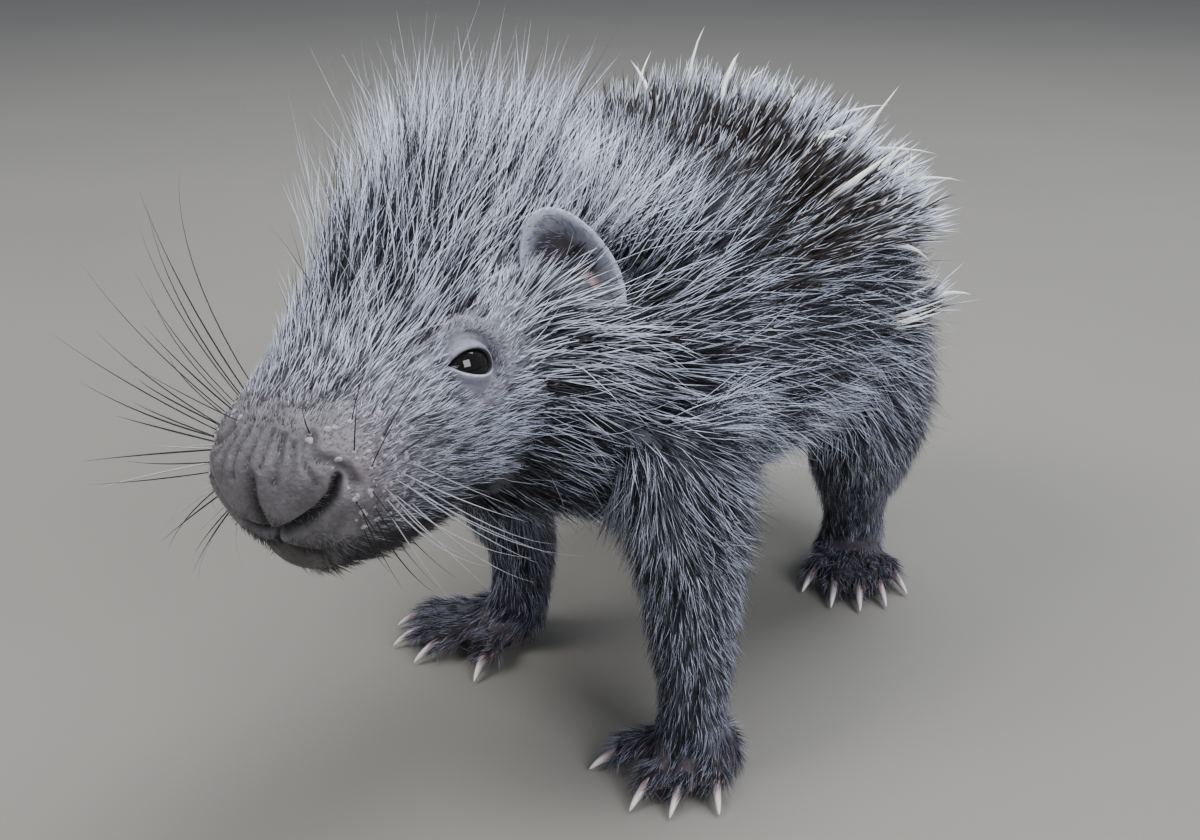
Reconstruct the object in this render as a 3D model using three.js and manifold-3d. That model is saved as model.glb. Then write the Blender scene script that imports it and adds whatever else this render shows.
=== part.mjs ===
// A baby Old World porcupine, life size, standing still on its four paws and looking ahead.
// The animal faces -Y with +X at its left side, and the floor is at Z = 0. Sizes are in millimetres.
import * as THREE from "three";
import { mergeVertices } from "three/addons/utils/BufferGeometryUtils.js";
import Module from "manifold-3d";

const wasm = await Module();
wasm.setup();

// Driving dimensions
const DEG = Math.PI / 180;
const GAP = 0.3; // clear gap that neighbouring pieces keep

const TORSO_FRONT = -50; // where the shoulders begin, along Y
const TORSO_LENGTH = 126;
const TORSO_HALF_WIDTH = 40;
const TORSO_AXIS_HEIGHT = 72;
const TORSO_HALF_HEIGHT = 36;

const HEAD_BASE = [-12, -57, 79]; // on the head's axis, just ahead of the ears
const HEAD_YAW = -5 * DEG; // turned to the animal's left
const HEAD_PITCH = 6 * DEG; // nose down
const HEAD_ROLL = 3 * DEG; // left side up
const NOSE_REACH = 46; // from the head's base forward to the nose tip
const HEAD_LENGTH = 84; // nose tip to the back of the skull
const EYE_PLACE = { forward: 10.1, out: 15.4, up: 5.9 };
const EYE_RADIUS = 4.6;
const EYE_OPENING = 8.2;
const EYE_TURN = 26 * DEG; // the eyes look outward and this far ahead
const EAR_PLACE = { forward: -13, out: 25, up: 14 };
const EAR_SIZE = { long: 15, thick: 11, high: 25 };

const NECK_HALF_WIDTH = 28;
const NECK_HALF_DEPTH = 28;

const TOE_RADIUS = 3.1;
const CLAW_LENGTH = 6.8;
const CREST_LENGTH = 30;
const FLANK_LOCK_LENGTH = 17;
const SPINE_LENGTH = 19;
const WHISKER_LENGTH = 60;

// Materials
const finish = (colour, roughness) =>
  new THREE.MeshStandardMaterial({ color: colour, roughness, metalness: 0 });
const MATERIALS = {
  coat: finish(0x55545c, 0.75),
  leg: finish(0x2c2a30, 0.8),
  ear: finish(0x8d8a97, 0.65),
  eye: finish(0x0a0a0d, 0.08),
  claw: finish(0xd9c4c2, 0.45),
};

const vec = (x, y, z) => new THREE.Vector3(x, y, z);
const UP = vec(0, 0, 1);
const mix = (a, b, share) => a + (b - a) * share;
const clamp = (value, low, high) => Math.min(high, Math.max(low, value));
const rise = (low, high, value) => {
  const share = clamp((value - low) / (high - low), 0, 1);
  return share * share * (3 - 2 * share);
};

// Seeded random numbers, so that every build is alike
function seeded(seed) {
  let state = seed >>> 0;
  return () => {
    state = (Math.imul(state, 1664525) + 1013904223) >>> 0;
    return state / 4294967296;
  };
}

// A smooth curve through the rows of a table: each row is a place from 0 to 1 and the values there
function along(table, place) {
  let i = 0;
  while (i < table.length - 2 && place > table[i + 1][0]) i++;
  const before = table[Math.max(i - 1, 0)];
  const from = table[i];
  const to = table[i + 1];
  const after = table[Math.min(i + 2, table.length - 1)];
  const span = to[0] - from[0];
  const t = clamp((place - from[0]) / span, 0, 1);
  return from.slice(1).map((start, k) => {
    const end = to[k + 1];
    const slopeIn = ((end - before[k + 1]) / (to[0] - before[0])) * span;
    const slopeOut = ((after[k + 1] - start) / (after[0] - from[0])) * span;
    const ends = start + (end - start) * t * t * (3 - 2 * t);
    return ends + t * (1 - t) * ((1 - t) * slopeIn - t * slopeOut);
  });
}

// How far a rounded end has opened: 0 at its tip and 1 where the full section begins
function opened(distance, reach, power) {
  if (distance >= reach) return 1;
  const left = 1 - Math.max(distance, 0) / reach;
  return Math.pow(1 - Math.pow(left, power), 1 / power);
}

// A point on the surface of a rounded form. place runs from its front end to its rear end, and
// angle from its left side over the top. grow moves the point outward.
function surfacePoint(form, place, angle, grow = 0) {
  const [half, above, below] = along(form.sections, place);
  const open =
    opened(place, form.frontRound, form.frontPower) *
    opened(1 - place, form.rearRound, form.rearPower);
  const { point, side, up } = form.frame(place);
  const c = Math.cos(angle);
  const s = Math.sin(angle);
  const power = 2 / form.squareness;
  const out = Math.sign(c) * Math.pow(Math.abs(c), power) * (half * open + grow);
  const reach = (s > 0 ? above : below) * open + grow;
  const high = Math.sign(s) * Math.pow(Math.abs(s), power) * reach;
  return point.clone().addScaledVector(side, out).addScaledVector(up, high);
}

// The surface point with its outward normal and the direction towards the rear
function surfaceFrame(form, place, angle) {
  const step = 0.004;
  const at = surfacePoint(form, place, angle);
  const back = surfacePoint(form, Math.min(place + step, 1), angle)
    .sub(surfacePoint(form, Math.max(place - step, 0), angle))
    .normalize();
  const round = surfacePoint(form, place, angle + step).sub(
    surfacePoint(form, place, angle - step),
  );
  const normal = round.cross(back).normalize();
  if (normal.dot(at.clone().sub(form.frame(place).point)) < 0) normal.negate();
  return { at, normal, back };
}

// A closed mesh from rings of points with one point at each end
function skinned(rings, first, last) {
  const sides = rings[0].length;
  const positions = [first, ...rings.flat(), last].flatMap((p) => [p.x, p.y, p.z]);
  const index = [];
  const end = 1 + rings.length * sides;
  for (let j = 0; j < sides; j++) {
    const k = (j + 1) % sides;
    index.push(0, 1 + k, 1 + j);
    for (let i = 0; i < rings.length - 1; i++) {
      const a = 1 + i * sides;
      const b = a + sides;
      index.push(a + j, a + k, b + k, a + j, b + k, b + j);
    }
    index.push(end, end - sides + j, end - sides + k);
  }
  const geometry = new THREE.BufferGeometry();
  geometry.setAttribute("position", new THREE.Float32BufferAttribute(positions, 3));
  geometry.setIndex(index);
  return geometry;
}

// A solid for joining and cutting, turned right side out
function solid(geometry) {
  const bare = geometry.clone();
  for (const name of ["normal", "uv"]) bare.deleteAttribute(name);
  const merged = mergeVertices(bare, 1e-4);
  const make = (triVerts) =>
    new wasm.Manifold(
      new wasm.Mesh({
        numProp: 3,
        vertProperties: new Float32Array(merged.attributes.position.array),
        triVerts,
      }),
    );
  const made = make(new Uint32Array(merged.index.array));
  if (made.volume() > 0) return made;
  return make(new Uint32Array(merged.index.array).reverse());
}

// The largest closed surface of a solid, with any sealed hollow filled
function largest(shape) {
  return shape.decompose().sort((a, b) => b.volume() - a.volume())[0];
}

const join = (shapes) => wasm.Manifold.union(shapes);

function formSolid(form, grow = 0) {
  const { rings, sides } = form;
  const made = [];
  for (let i = 1; i < rings; i++) {
    const place = (1 - Math.cos((Math.PI * i) / rings)) / 2;
    made.push(
      Array.from({ length: sides }, (_, j) =>
        surfacePoint(form, place, (2 * Math.PI * j) / sides, grow),
      ),
    );
  }
  const tip = (place, sign) => {
    const { point, forward } = form.frame(place);
    return point.clone().addScaledVector(forward, sign * grow);
  };
  return solid(skinned(made, tip(0, 1), tip(1, -1)));
}

// The torso is one barrel, widest behind the ribs. A row of its sections holds the place from the
// shoulders to the rump, and the half width, height above and depth below as shares.
const torso = {
  sections: [
    [0.0, 0.62, 0.62, 0.64],
    [0.14, 0.8, 0.82, 0.86],
    [0.35, 0.94, 0.96, 0.98],
    [0.58, 1.0, 1.0, 1.02],
    [0.78, 0.97, 0.87, 1.0],
    [0.92, 0.82, 0.62, 0.86],
    [1.0, 0.62, 0.42, 0.66],
  ].map(([place, wide, above, below]) => [
    place,
    wide * TORSO_HALF_WIDTH,
    above * TORSO_HALF_HEIGHT,
    below * TORSO_HALF_HEIGHT,
  ]),
  frontRound: 0.2,
  frontPower: 2.2,
  rearRound: 0.28,
  rearPower: 2.1,
  squareness: 2.15,
  rings: 14,
  sides: 18,
  frame: (place) => ({
    point: vec(0, TORSO_FRONT + place * TORSO_LENGTH, TORSO_AXIS_HEIGHT),
    side: vec(1, 0, 0),
    up: UP,
    forward: vec(0, -1, 0),
  }),
};

// The head's own directions
const headAhead = vec(-Math.sin(HEAD_YAW), -Math.cos(HEAD_YAW), 0);
const headForward = headAhead
  .clone()
  .multiplyScalar(Math.cos(HEAD_PITCH))
  .addScaledVector(UP, -Math.sin(HEAD_PITCH));
const headLevel = UP.clone().cross(headAhead);
const headSide = headLevel
  .clone()
  .multiplyScalar(Math.cos(HEAD_ROLL))
  .addScaledVector(headForward.clone().cross(headLevel), Math.sin(HEAD_ROLL));
const headUp = headForward.clone().cross(headSide);
const onHead = (forward, left, up) =>
  vec(...HEAD_BASE)
    .addScaledVector(headForward, forward)
    .addScaledVector(headSide, left)
    .addScaledVector(headUp, up);

// The head is deep and blunt. Its sections give the half width, height above and depth below its
// axis in millimetres, from the nose to the back of the skull.
const head = {
  sections: [
    [0.0, 11.5, 6, 13.5],
    [0.1, 14.5, 9, 18],
    [0.25, 17.5, 13, 21.5],
    [0.4, 21, 17.5, 23],
    [0.55, 24.5, 21, 24.5],
    [0.75, 27, 23, 26],
    [1.0, 26, 22, 25],
  ],
  frontRound: 0.14,
  frontPower: 2.4,
  rearRound: 0.2,
  rearPower: 2,
  squareness: 2.15,
  rings: 17,
  sides: 22,
  frame: (place) => ({
    point: onHead(NOSE_REACH - place * HEAD_LENGTH, 0, 0),
    side: headSide,
    up: headUp,
    forward: headForward,
  }),
};

// The short thick neck runs from inside the head to inside the shoulders
const NECK_FRONT = onHead(-4, 0, -3);
const NECK_REAR = vec(0, TORSO_FRONT + 32, TORSO_AXIS_HEIGHT);
const neckForward = NECK_FRONT.clone().sub(NECK_REAR).normalize();
const neckSide = UP.clone().cross(neckForward).normalize();
const neck = {
  sections: [
    [0, 0.9, 0.82, 0.9],
    [0.5, 1.0, 0.95, 1.0],
    [1, 1.06, 1.04, 1.06],
  ].map(([place, wide, above, below]) => [
    place,
    wide * NECK_HALF_WIDTH,
    above * NECK_HALF_DEPTH,
    below * NECK_HALF_DEPTH,
  ]),
  frontRound: 0.1,
  frontPower: 2,
  rearRound: 0.1,
  rearPower: 2,
  squareness: 2.1,
  rings: 9,
  sides: 16,
  frame: (place) => ({
    point: NECK_FRONT.clone().lerp(NECK_REAR, place),
    side: neckSide,
    up: neckForward.clone().cross(neckSide),
    forward: neckForward,
  }),
};

// A tube of changing half sizes through a few places
function tubeSolid(places, halves, rings, sides, grow = 0) {
  const curve = new THREE.CatmullRomCurve3(places);
  const table = halves.map((pair, i) => [i / (halves.length - 1), ...pair]);
  const made = [];
  for (let i = 0; i <= rings; i++) {
    const place = i / rings;
    const centre = curve.getPoint(place);
    const ahead = curve.getTangent(place);
    const side = vec(1, 0, 0).addScaledVector(ahead, -ahead.x).normalize();
    const front = ahead.clone().cross(side);
    const [wide, deep] = along(table, place);
    made.push(
      Array.from({ length: sides }, (_, j) => {
        const angle = (2 * Math.PI * j) / sides;
        return centre
          .clone()
          .addScaledVector(side, Math.cos(angle) * (wide + grow))
          .addScaledVector(front, Math.sin(angle) * (deep + grow));
      }),
    );
  }
  const start = places[0].clone().addScaledVector(curve.getTangent(0), -grow);
  const end = places[places.length - 1].clone().addScaledVector(curve.getTangent(1), grow);
  return solid(skinned(made, start, end));
}

const underFloor = solid(new THREE.BoxGeometry(400, 400, 40).translate(0, 0, -20));

// Paws. at is the middle of the palm, turn its heading towards the animal's left, and each toe's
// end is given to the left of and ahead of that middle, from the outermost toe inwards.
const PAWS = {
  front_left: {
    at: [33, -36],
    turn: 2,
    palm: [8.6, 9],
    toes: [[6.4, 6], [2.2, 9.8], [-2.6, 11.4], [-10.6, 6.6]],
  },
  front_right: {
    at: [-27, -18],
    turn: -30,
    palm: [8.6, 9],
    toes: [[-9.6, 11], [-4.4, 13.8], [1.6, 12.4], [9.6, 6.4]],
  },
  hind_left: {
    at: [27, 54],
    turn: 26,
    palm: [8.6, 14],
    toes: [[8, 7], [5, 11.8], [0.8, 14], [-3.8, 13.2], [-7.6, 8]],
  },
  hind_right: {
    at: [-29, 62],
    turn: -20,
    palm: [8.6, 14],
    toes: [[-8, 7], [-5, 11.8], [-0.8, 14], [3.8, 13.2], [7.6, 8]],
  },
};
const PALM_HALF_HEIGHT = 6.5;
const PALM_AXIS = 3.5;

function pawPoint(paw, left, forward, high) {
  const turn = paw.turn * DEG;
  return vec(
    paw.at[0] + left * Math.cos(turn) + forward * Math.sin(turn),
    paw.at[1] + left * Math.sin(turn) - forward * Math.cos(turn),
    high,
  );
}

const toePath = (paw, [left, forward]) => [
  pawPoint(paw, left * 0.6, forward * 0.3, 4.6),
  pawPoint(paw, left * 0.88, forward * 0.72, 4.2),
  pawPoint(paw, left, forward, 2.6),
];

function pawSolid(paw, grow = 0) {
  const [half, reach] = paw.palm;
  const palm = new THREE.SphereGeometry(1, 12, 6)
    .rotateX(Math.PI / 2)
    .scale(half + grow, reach + grow, PALM_HALF_HEIGHT + grow)
    .rotateZ(paw.turn * DEG)
    .translate(paw.at[0], paw.at[1], PALM_AXIS);
  const halves = [1.1, 1.05, 0.78].map((share) => [TOE_RADIUS * share, TOE_RADIUS * share]);
  const toes = paw.toes.map((toe) => tubeSolid(toePath(paw, toe), halves, 2, 6, grow));
  return join([solid(palm), ...toes]);
}

// A claw is a curved horn from inside its toe's end down to just above the floor
function clawSolid(paw, toe) {
  const path = toePath(paw, toe);
  const ahead = path[2].clone().sub(path[1]).setZ(0).normalize();
  const across = UP.clone().cross(ahead);
  const sides = 5;
  const point = (share) =>
    path[2]
      .clone()
      .addScaledVector(ahead, (share * 1.3 - 0.15) * CLAW_LENGTH)
      .setZ(mix(3.6, 0.7, share * share));
  const rings = [0, 0.4, 0.75].map((share) => {
    const half = 1.5 * Math.pow(1 - share, 0.55);
    return Array.from({ length: sides }, (_, j) => {
      const angle = (2 * Math.PI * (j + 0.5)) / sides;
      return point(share)
        .addScaledVector(across, Math.cos(angle) * half * 0.8)
        .addScaledVector(UP, Math.sin(angle) * half);
    });
  });
  return solid(skinned(rings, point(0), point(1)));
}

// Legs run from inside the torso to inside the paws
const LEGS = {
  front_left: {
    places: [vec(22, -29, 66), vec(28.5, -33, 46), vec(33, -38, 24), vec(33, -38, 5)],
    halves: [[12, 15], [10.5, 12], [7.6, 8], [6.6, 7]],
  },
  front_right: {
    places: [vec(-21, -27, 66), vec(-22, -23, 46), vec(-20, -17, 24), vec(-23, -16, 5)],
    halves: [[12, 15], [10.5, 12], [7.6, 8], [6.6, 7]],
  },
  hind_left: {
    places: [vec(26, 42, 64), vec(32, 42, 44), vec(27, 54, 22), vec(25, 60, 5)],
    halves: [[16, 22], [13.5, 17], [8.5, 10], [7.2, 8]],
  },
  hind_right: {
    places: [vec(-26, 46, 64), vec(-33, 48, 44), vec(-29, 62, 22), vec(-27, 69, 5)],
    halves: [[16, 22], [13.5, 17], [8.5, 10], [7.2, 8]],
  },
};

const legSolid = (leg) => tubeSolid(leg.places, leg.halves, 6, 9);

// The tail is a short stub bent to the animal's left
const TAIL_PLACES = [vec(0, 62, 62), vec(2, 76, 61), vec(9, 88, 59)];
const TAIL_HALVES = [[10, 10], [7.5, 7.5], [3.6, 3.6]];

// A lock, spine or whisker is a tapered blade that leaves the skin at an angle, lift, and has bent
// over by bend at its tip. spare makes it thicker all round.
function bladeSolid({ root, normal, lie, size }, spare = 0) {
  const side = normal.clone().cross(lie).normalize();
  const along = side.clone().cross(normal);
  const centre = root.clone().addScaledVector(normal, -size.sink);
  const rings = [];
  for (let i = 0; i < size.steps; i++) {
    const share = i / size.steps;
    const angle = size.lift - size.bend * share;
    const ahead = along
      .clone()
      .multiplyScalar(Math.cos(angle))
      .addScaledVector(normal, Math.sin(angle));
    const face = ahead.clone().cross(side);
    const taper = Math.pow(1 - share, size.taper);
    rings.push(
      Array.from({ length: size.sides }, (_, j) => {
        const turn = (2 * Math.PI * (j + 0.25)) / size.sides;
        return centre
          .clone()
          .addScaledVector(side, Math.cos(turn) * ((size.width / 2) * taper + spare))
          .addScaledVector(face, Math.sin(turn) * ((size.thickness / 2) * taper + spare));
      }),
    );
    centre.addScaledVector(ahead, size.length / size.steps + (i === 0 ? size.sink : 0));
  }
  const base = root.clone().addScaledVector(normal, -size.sink - 0.2);
  return solid(skinned(rings, base, centre));
}

// Joins blades to a node. A blade that would cross another node is raised or shortened, and
// otherwise left out.
function withBlades(base, blades, neighbours) {
  const tries = [[0, 1], [14, 1], [14, 0.8], [28, 0.8], [40, 0.6]];
  const kept = [];
  for (const blade of blades) {
    for (const [raise, shorten] of tries) {
      const size = {
        ...blade.size,
        lift: blade.size.lift + raise * DEG,
        length: blade.size.length * shorten,
      };
      const tried = { ...blade, size };
      const wide = bladeSolid(tried, GAP);
      if (neighbours.every((other) => wide.intersect(other).volume() < 1e-6)) {
        kept.push(bladeSolid(tried));
        break;
      }
    }
  }
  return largest(join([base, ...kept]));
}

const LOCK = { width: 10, thickness: 2.6, sink: 2.2, sides: 3, steps: 3, taper: 0.7 };
const SPINE = { width: 2.3, thickness: 2.3, sink: 2.2, sides: 3, steps: 2, taper: 0.5 };

const topness = (angle) => Math.sin(angle * DEG); // 1 on the top line, 0 at the sides

// Staggered rows of blades over part of a form. choose gives a blade's size, or nothing.
function rows(form, { from, to, low, high, pitch, seed }, choose) {
  const random = seeded(seed);
  const blades = [];
  const length = form.frame(0).point.distanceTo(form.frame(1).point);
  const count = Math.max(1, Math.round(((to - from) * length) / pitch));
  for (let i = 0; i < count; i++) {
    const place = from + ((to - from) * (i + 0.5)) / count;
    const [half, above, below] = along(form.sections, place);
    const girth = ((high - low) * DEG * (half + (above + below) / 2)) / 2;
    const across = Math.max(1, Math.round(girth / pitch));
    for (let j = 0; j < across; j++) {
      const share = (j + 0.5 + (i % 2 ? 0.25 : -0.25)) / across;
      const angle = mix(low, high, share + (0.24 * (random() - 0.5)) / across);
      const spot = place + (0.3 * (random() - 0.5) * pitch) / length;
      const size = choose(spot, angle, random);
      if (!size) continue;
      const { at, normal, back } = surfaceFrame(form, spot, angle * DEG);
      const sag = 0.35 * (1 - Math.abs(topness(angle)));
      const lie = back.clone().addScaledVector(UP, -sag);
      lie.addScaledVector(normal, -lie.dot(normal)).normalize();
      blades.push({ root: at, normal, lie, size });
    }
  }
  return blades;
}

const vary = (value, share, random) => value * (1 + share * (2 * random() - 1));

// The torso has stiff spines over the rear of the back, and soft locks everywhere else
const SPINES_FROM = 0.38;
const SPINES_ABOVE = 0.32;
function torsoBlades() {
  const edge = Math.asin(SPINES_ABOVE) / DEG;
  const spines = rows(
    torso,
    { from: SPINES_FROM, to: 0.97, low: edge, high: 180 - edge, pitch: 8.4, seed: 11 },
    (place, angle, random) => ({
      ...SPINE,
      length: vary(mix(0.8, 1, rise(0.3, 0.6, place)) * SPINE_LENGTH, 0.15, random),
      lift: mix(30, mix(54, 34, rise(0.6, 0.95, place)), topness(angle)) * DEG,
      bend: mix(-6, 16, random()) * DEG,
    }),
  );
  const locks = rows(
    torso,
    { from: 0.05, to: 0.97, low: -90, high: 270, pitch: 12, seed: 23 },
    (place, angle, random) => {
      const top = topness(angle);
      if (place > SPINES_FROM && top > SPINES_ABOVE) return null;
      const under = rise(-0.2, -0.9, top);
      const over = rise(0.2, 1, top);
      return {
        ...LOCK,
        length: vary(FLANK_LOCK_LENGTH * mix(1, 0.6, under) * mix(1, 1.2, over), 0.14, random),
        lift: mix(mix(20, 42, over), 12, under) * DEG,
        bend: 14 * DEG,
      };
    },
  );
  return [...spines, ...locks];
}

function neckBlades() {
  const placing = { from: 0.3, to: 0.75, low: -90, high: 270, pitch: 8, seed: 31 };
  return rows(neck, placing, (place, angle, random) => {
    const over = rise(0.1, 1, topness(angle));
    return {
      ...LOCK,
      width: mix(9, 7, over),
      length: vary(mix(13, CREST_LENGTH * 0.8, over), 0.12, random),
      lift: mix(20, 60, over) * DEG,
      bend: mix(12, 16, over) * DEG,
    };
  });
}

// The crest stands over the crown, and shorter locks lie back over the cheeks and throat
function headBlades() {
  const crest = rows(
    head,
    { from: 0.36, to: 0.97, low: 24, high: 156, pitch: 7.4, seed: 41 },
    (place, angle, random) => {
      const grown = rise(0.26, 0.66, place);
      const over = rise(0.4, 1, topness(angle));
      return {
        ...LOCK,
        width: mix(6, 9, grown),
        thickness: 2.2,
        length: vary(mix(8, CREST_LENGTH * mix(0.5, 1, over), grown), 0.12, random),
        lift: mix(30, mix(38, 66, over), grown) * DEG,
        bend: mix(4, 14, grown) * DEG,
      };
    },
  );
  const cheeks = rows(
    head,
    { from: 0.45, to: 0.97, low: 158, high: 382, pitch: 10, seed: 43 },
    (place, angle, random) => ({
      ...LOCK,
      width: 8,
      thickness: 1.8,
      length: vary(mix(8, 13, rise(0.4, 0.8, place)), 0.12, random),
      lift: 17 * DEG,
      bend: 10 * DEG,
    }),
  );
  return [...crest, ...cheeks];
}

// Whiskers fan out of both sides of the muzzle in rows, longest at the rear
const WHISKER_ROWS = 4;
const WHISKER_COLUMNS = 3;
function whiskers() {
  const random = seeded(53);
  const blades = [];
  for (const sign of [1, -1]) {
    for (let row = 0; row < WHISKER_ROWS; row++) {
      for (let column = 0; column < WHISKER_COLUMNS; column++) {
        const backward = column / (WHISKER_COLUMNS - 1);
        const angle = 90 - sign * (76 + 15 * row);
        const place = 0.11 + 0.12 * backward + 0.012 * row;
        const { at, normal, back } = surfaceFrame(head, place, angle * DEG);
        const droop = mix(0.25, -0.9, row / (WHISKER_ROWS - 1));
        const lie = back.clone().addScaledVector(UP, droop);
        lie.addScaledVector(normal, -lie.dot(normal)).normalize();
        const size = {
          width: 1,
          thickness: 1,
          sink: 1.8,
          sides: 3,
          steps: 3,
          taper: 0.5,
          length: vary(WHISKER_LENGTH * mix(0.62, 1, backward), 0.1, random),
          lift: mix(62, 42, backward) * DEG,
          bend: 26 * DEG,
        };
        blades.push({ root: at, normal, lie, size });
      }
    }
  }
  return blades;
}

// A shape whose own X, Y and Z lie along the head's forward, left and up directions
const headTurn = new THREE.Matrix4().makeBasis(headForward, headSide, headUp);
function onHeadSolid(geometry, forward, left, up) {
  const place = onHead(forward, left, up);
  return solid(geometry.applyMatrix4(headTurn).translate(place.x, place.y, place.z));
}

const ball = (long, wide, high, around = 12) =>
  new THREE.SphereGeometry(1, around, Math.round(around * 0.7)).scale(long, wide, high);

// Eyes: a ball, a bulge of lid over it, and an almond opening in that lid
const eyeSolid = (sign, radius) =>
  onHeadSolid(ball(radius, radius, radius), EYE_PLACE.forward, sign * EYE_PLACE.out, EYE_PLACE.up);
const lidSolid = (sign) =>
  onHeadSolid(
    ball(EYE_RADIUS + 2.2, EYE_RADIUS + 0.9, EYE_RADIUS + 1.3),
    EYE_PLACE.forward,
    sign * EYE_PLACE.out,
    EYE_PLACE.up,
  );
function lidOpening(sign) {
  const half = EYE_OPENING / 2;
  const almond = new THREE.Shape();
  almond.moveTo(-half, 0);
  almond.quadraticCurveTo(0.4, half * 1.35, half, -0.4);
  almond.quadraticCurveTo(0.2, -half * 1.15, -half, 0);
  const cut = new THREE.ExtrudeGeometry(almond, {
    depth: 12,
    bevelEnabled: false,
    curveSegments: 5,
  });
  cut.rotateX(Math.PI / 2);
  if (sign > 0) cut.rotateX(Math.PI).scale(1, 1, -1);
  cut.rotateZ(-sign * EYE_TURN);
  return onHeadSolid(cut, EYE_PLACE.forward, sign * EYE_PLACE.out, EYE_PLACE.up);
}

// A nostril is a slanted slit from beside the midline out and up
function nostril(sign) {
  const places = [
    onHead(NOSE_REACH - 0.8, sign * 2.8, -6.6),
    onHead(NOSE_REACH - 2.6, sign * 8.4, -1.8),
    onHead(NOSE_REACH - 6, sign * 12, 3),
  ];
  return tubeSolid(places, [[0.6, 1.5], [1, 2], [0.6, 1.5]], 4, 6);
}

// The line of the mouth is a thin slot that bends round under the nose
const MOUTH_UP = -12.5;
function mouthSlot() {
  const line = new THREE.CatmullRomCurve3([
    onHead(NOSE_REACH - 20, 15, MOUTH_UP - 1),
    onHead(NOSE_REACH - 9, 11.5, MOUTH_UP - 0.4),
    onHead(NOSE_REACH - 3.5, 0, MOUTH_UP + 1.2),
    onHead(NOSE_REACH - 9, -11.5, MOUTH_UP - 0.4),
    onHead(NOSE_REACH - 20, -15, MOUTH_UP - 1),
  ]);
  const middle = onHead(NOSE_REACH - 26, 0, MOUTH_UP);
  const deep = 2.6;
  const half = 0.4;
  const corners = [[-1, -1], [1, -1], [1, 1], [-1, 1]];
  const count = 10;
  const rings = Array.from({ length: count + 1 }, (_, i) => {
    const centre = line.getPoint(i / count);
    const inward = middle.clone().sub(centre).normalize();
    return corners.map(([a, b]) =>
      centre
        .clone()
        .addScaledVector(inward, a * deep)
        .addScaledVector(headUp, b * half),
    );
  });
  return solid(skinned(rings, line.getPoint(0), line.getPoint(1)));
}

// The chin is a low rounded lump under the nose
const chinSolid = () => onHeadSolid(ball(10.5, 9.5, 8.6), NOSE_REACH - 14.5, 0, -12);

function headFlesh() {
  const whole = join([formSolid(head), chinSolid(), lidSolid(1), lidSolid(-1)]);
  const philtrum = onHeadSolid(new THREE.BoxGeometry(5, 0.8, 9), NOSE_REACH - 1, 0, -6);
  const cuts = [1, -1].flatMap((sign) => [
    eyeSolid(sign, EYE_RADIUS + GAP),
    lidOpening(sign),
    nostril(sign),
  ]);
  return whole.subtract(join([...cuts, mouthSlot(), philtrum]));
}

const torsoGrown = formSolid(torso, GAP);
const headGrown = formSolid(head, GAP);
const bodyGrown = join([torsoGrown, headGrown, formSolid(neck, GAP)]);

// An ear is a cupped shell that opens forward and out, with its root against the head
function earSolid(sign) {
  const shell = (share, forward, out) =>
    onHeadSolid(
      ball(
        (EAR_SIZE.long / 2) * share,
        (EAR_SIZE.thick / 2) * share,
        (EAR_SIZE.high / 2) * share,
        14,
      ),
      EAR_PLACE.forward + forward,
      sign * (EAR_PLACE.out + out),
      EAR_PLACE.up,
    );
  return shell(1, 0, 0).subtract(shell(0.86, 2.4, 1.8)).subtract(bodyGrown);
}

// Quills stand out of the end of the tail
const TAIL_QUILLS = 12;
function tailBlades() {
  const random = seeded(61);
  const [, bendPlace, end] = TAIL_PLACES;
  const outward = end.clone().sub(bendPlace).normalize();
  const across = outward.clone().cross(UP).normalize();
  return Array.from({ length: TAIL_QUILLS }, (_, i) => {
    const turn = i * 2.4;
    const spread = Math.sqrt((i + 0.5) / TAIL_QUILLS);
    const offset = across
      .clone()
      .multiplyScalar(Math.cos(turn) * spread)
      .addScaledVector(UP, Math.sin(turn) * spread);
    const normal = outward.clone().addScaledVector(offset, 0.4).normalize();
    const lie = UP.clone().cross(normal).normalize();
    const size = {
      ...SPINE,
      length: mix(11, 17, random()),
      lift: 88 * DEG,
      bend: mix(-10, 12, random()) * DEG,
    };
    const root = end.clone().addScaledVector(outward, -1).addScaledVector(offset, 2);
    return { root, normal, lie, size };
  });
}

function meshOf(name, shape, material) {
  const { vertProperties, triVerts } = shape.getMesh();
  const geometry = new THREE.BufferGeometry();
  geometry.setAttribute("position", new THREE.BufferAttribute(vertProperties, 3));
  geometry.setIndex(new THREE.BufferAttribute(triVerts, 1));
  geometry.computeVertexNormals();
  const mesh = new THREE.Mesh(geometry, material);
  mesh.name = name;
  return mesh;
}

// Flesh, each piece cut clear of the one it grows from
const headCore = largest(headFlesh().subtract(torsoGrown));
const neckCore = largest(formSolid(neck).subtract(torsoGrown).subtract(headGrown));
const tailCore = largest(tubeSolid(TAIL_PLACES, TAIL_HALVES, 5, 9).subtract(torsoGrown));
const legs = {};
for (const [name, leg] of Object.entries(LEGS)) {
  const upper = legSolid(leg).subtract(bodyGrown).subtract(underFloor);
  legs[name] = largest(upper.subtract(pawSolid(PAWS[name], GAP)));
}
const legList = Object.values(legs);

// Coats
const ears = { left: largest(earSolid(1)), right: largest(earSolid(-1)) };
const fixed = [headCore, ears.left, ears.right, ...legList];
const torsoSolid = withBlades(formSolid(torso), torsoBlades(), [neckCore, tailCore, ...fixed]);
const neckSolid = withBlades(neckCore, neckBlades(), [torsoSolid, ...fixed]);
const headSolid = withBlades(
  headCore,
  [...headBlades(), ...whiskers()],
  [
    neckSolid,
    torsoSolid,
    ears.left,
    ears.right,
    lidSolid(1),
    lidSolid(-1),
    ...legList,
    underFloor,
  ],
);
const tailSolid = withBlades(tailCore, tailBlades(), [torsoSolid]);

const porcupine = new THREE.Group();
const add = (name, shape, material) => porcupine.add(meshOf(name, shape, material));

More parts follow.
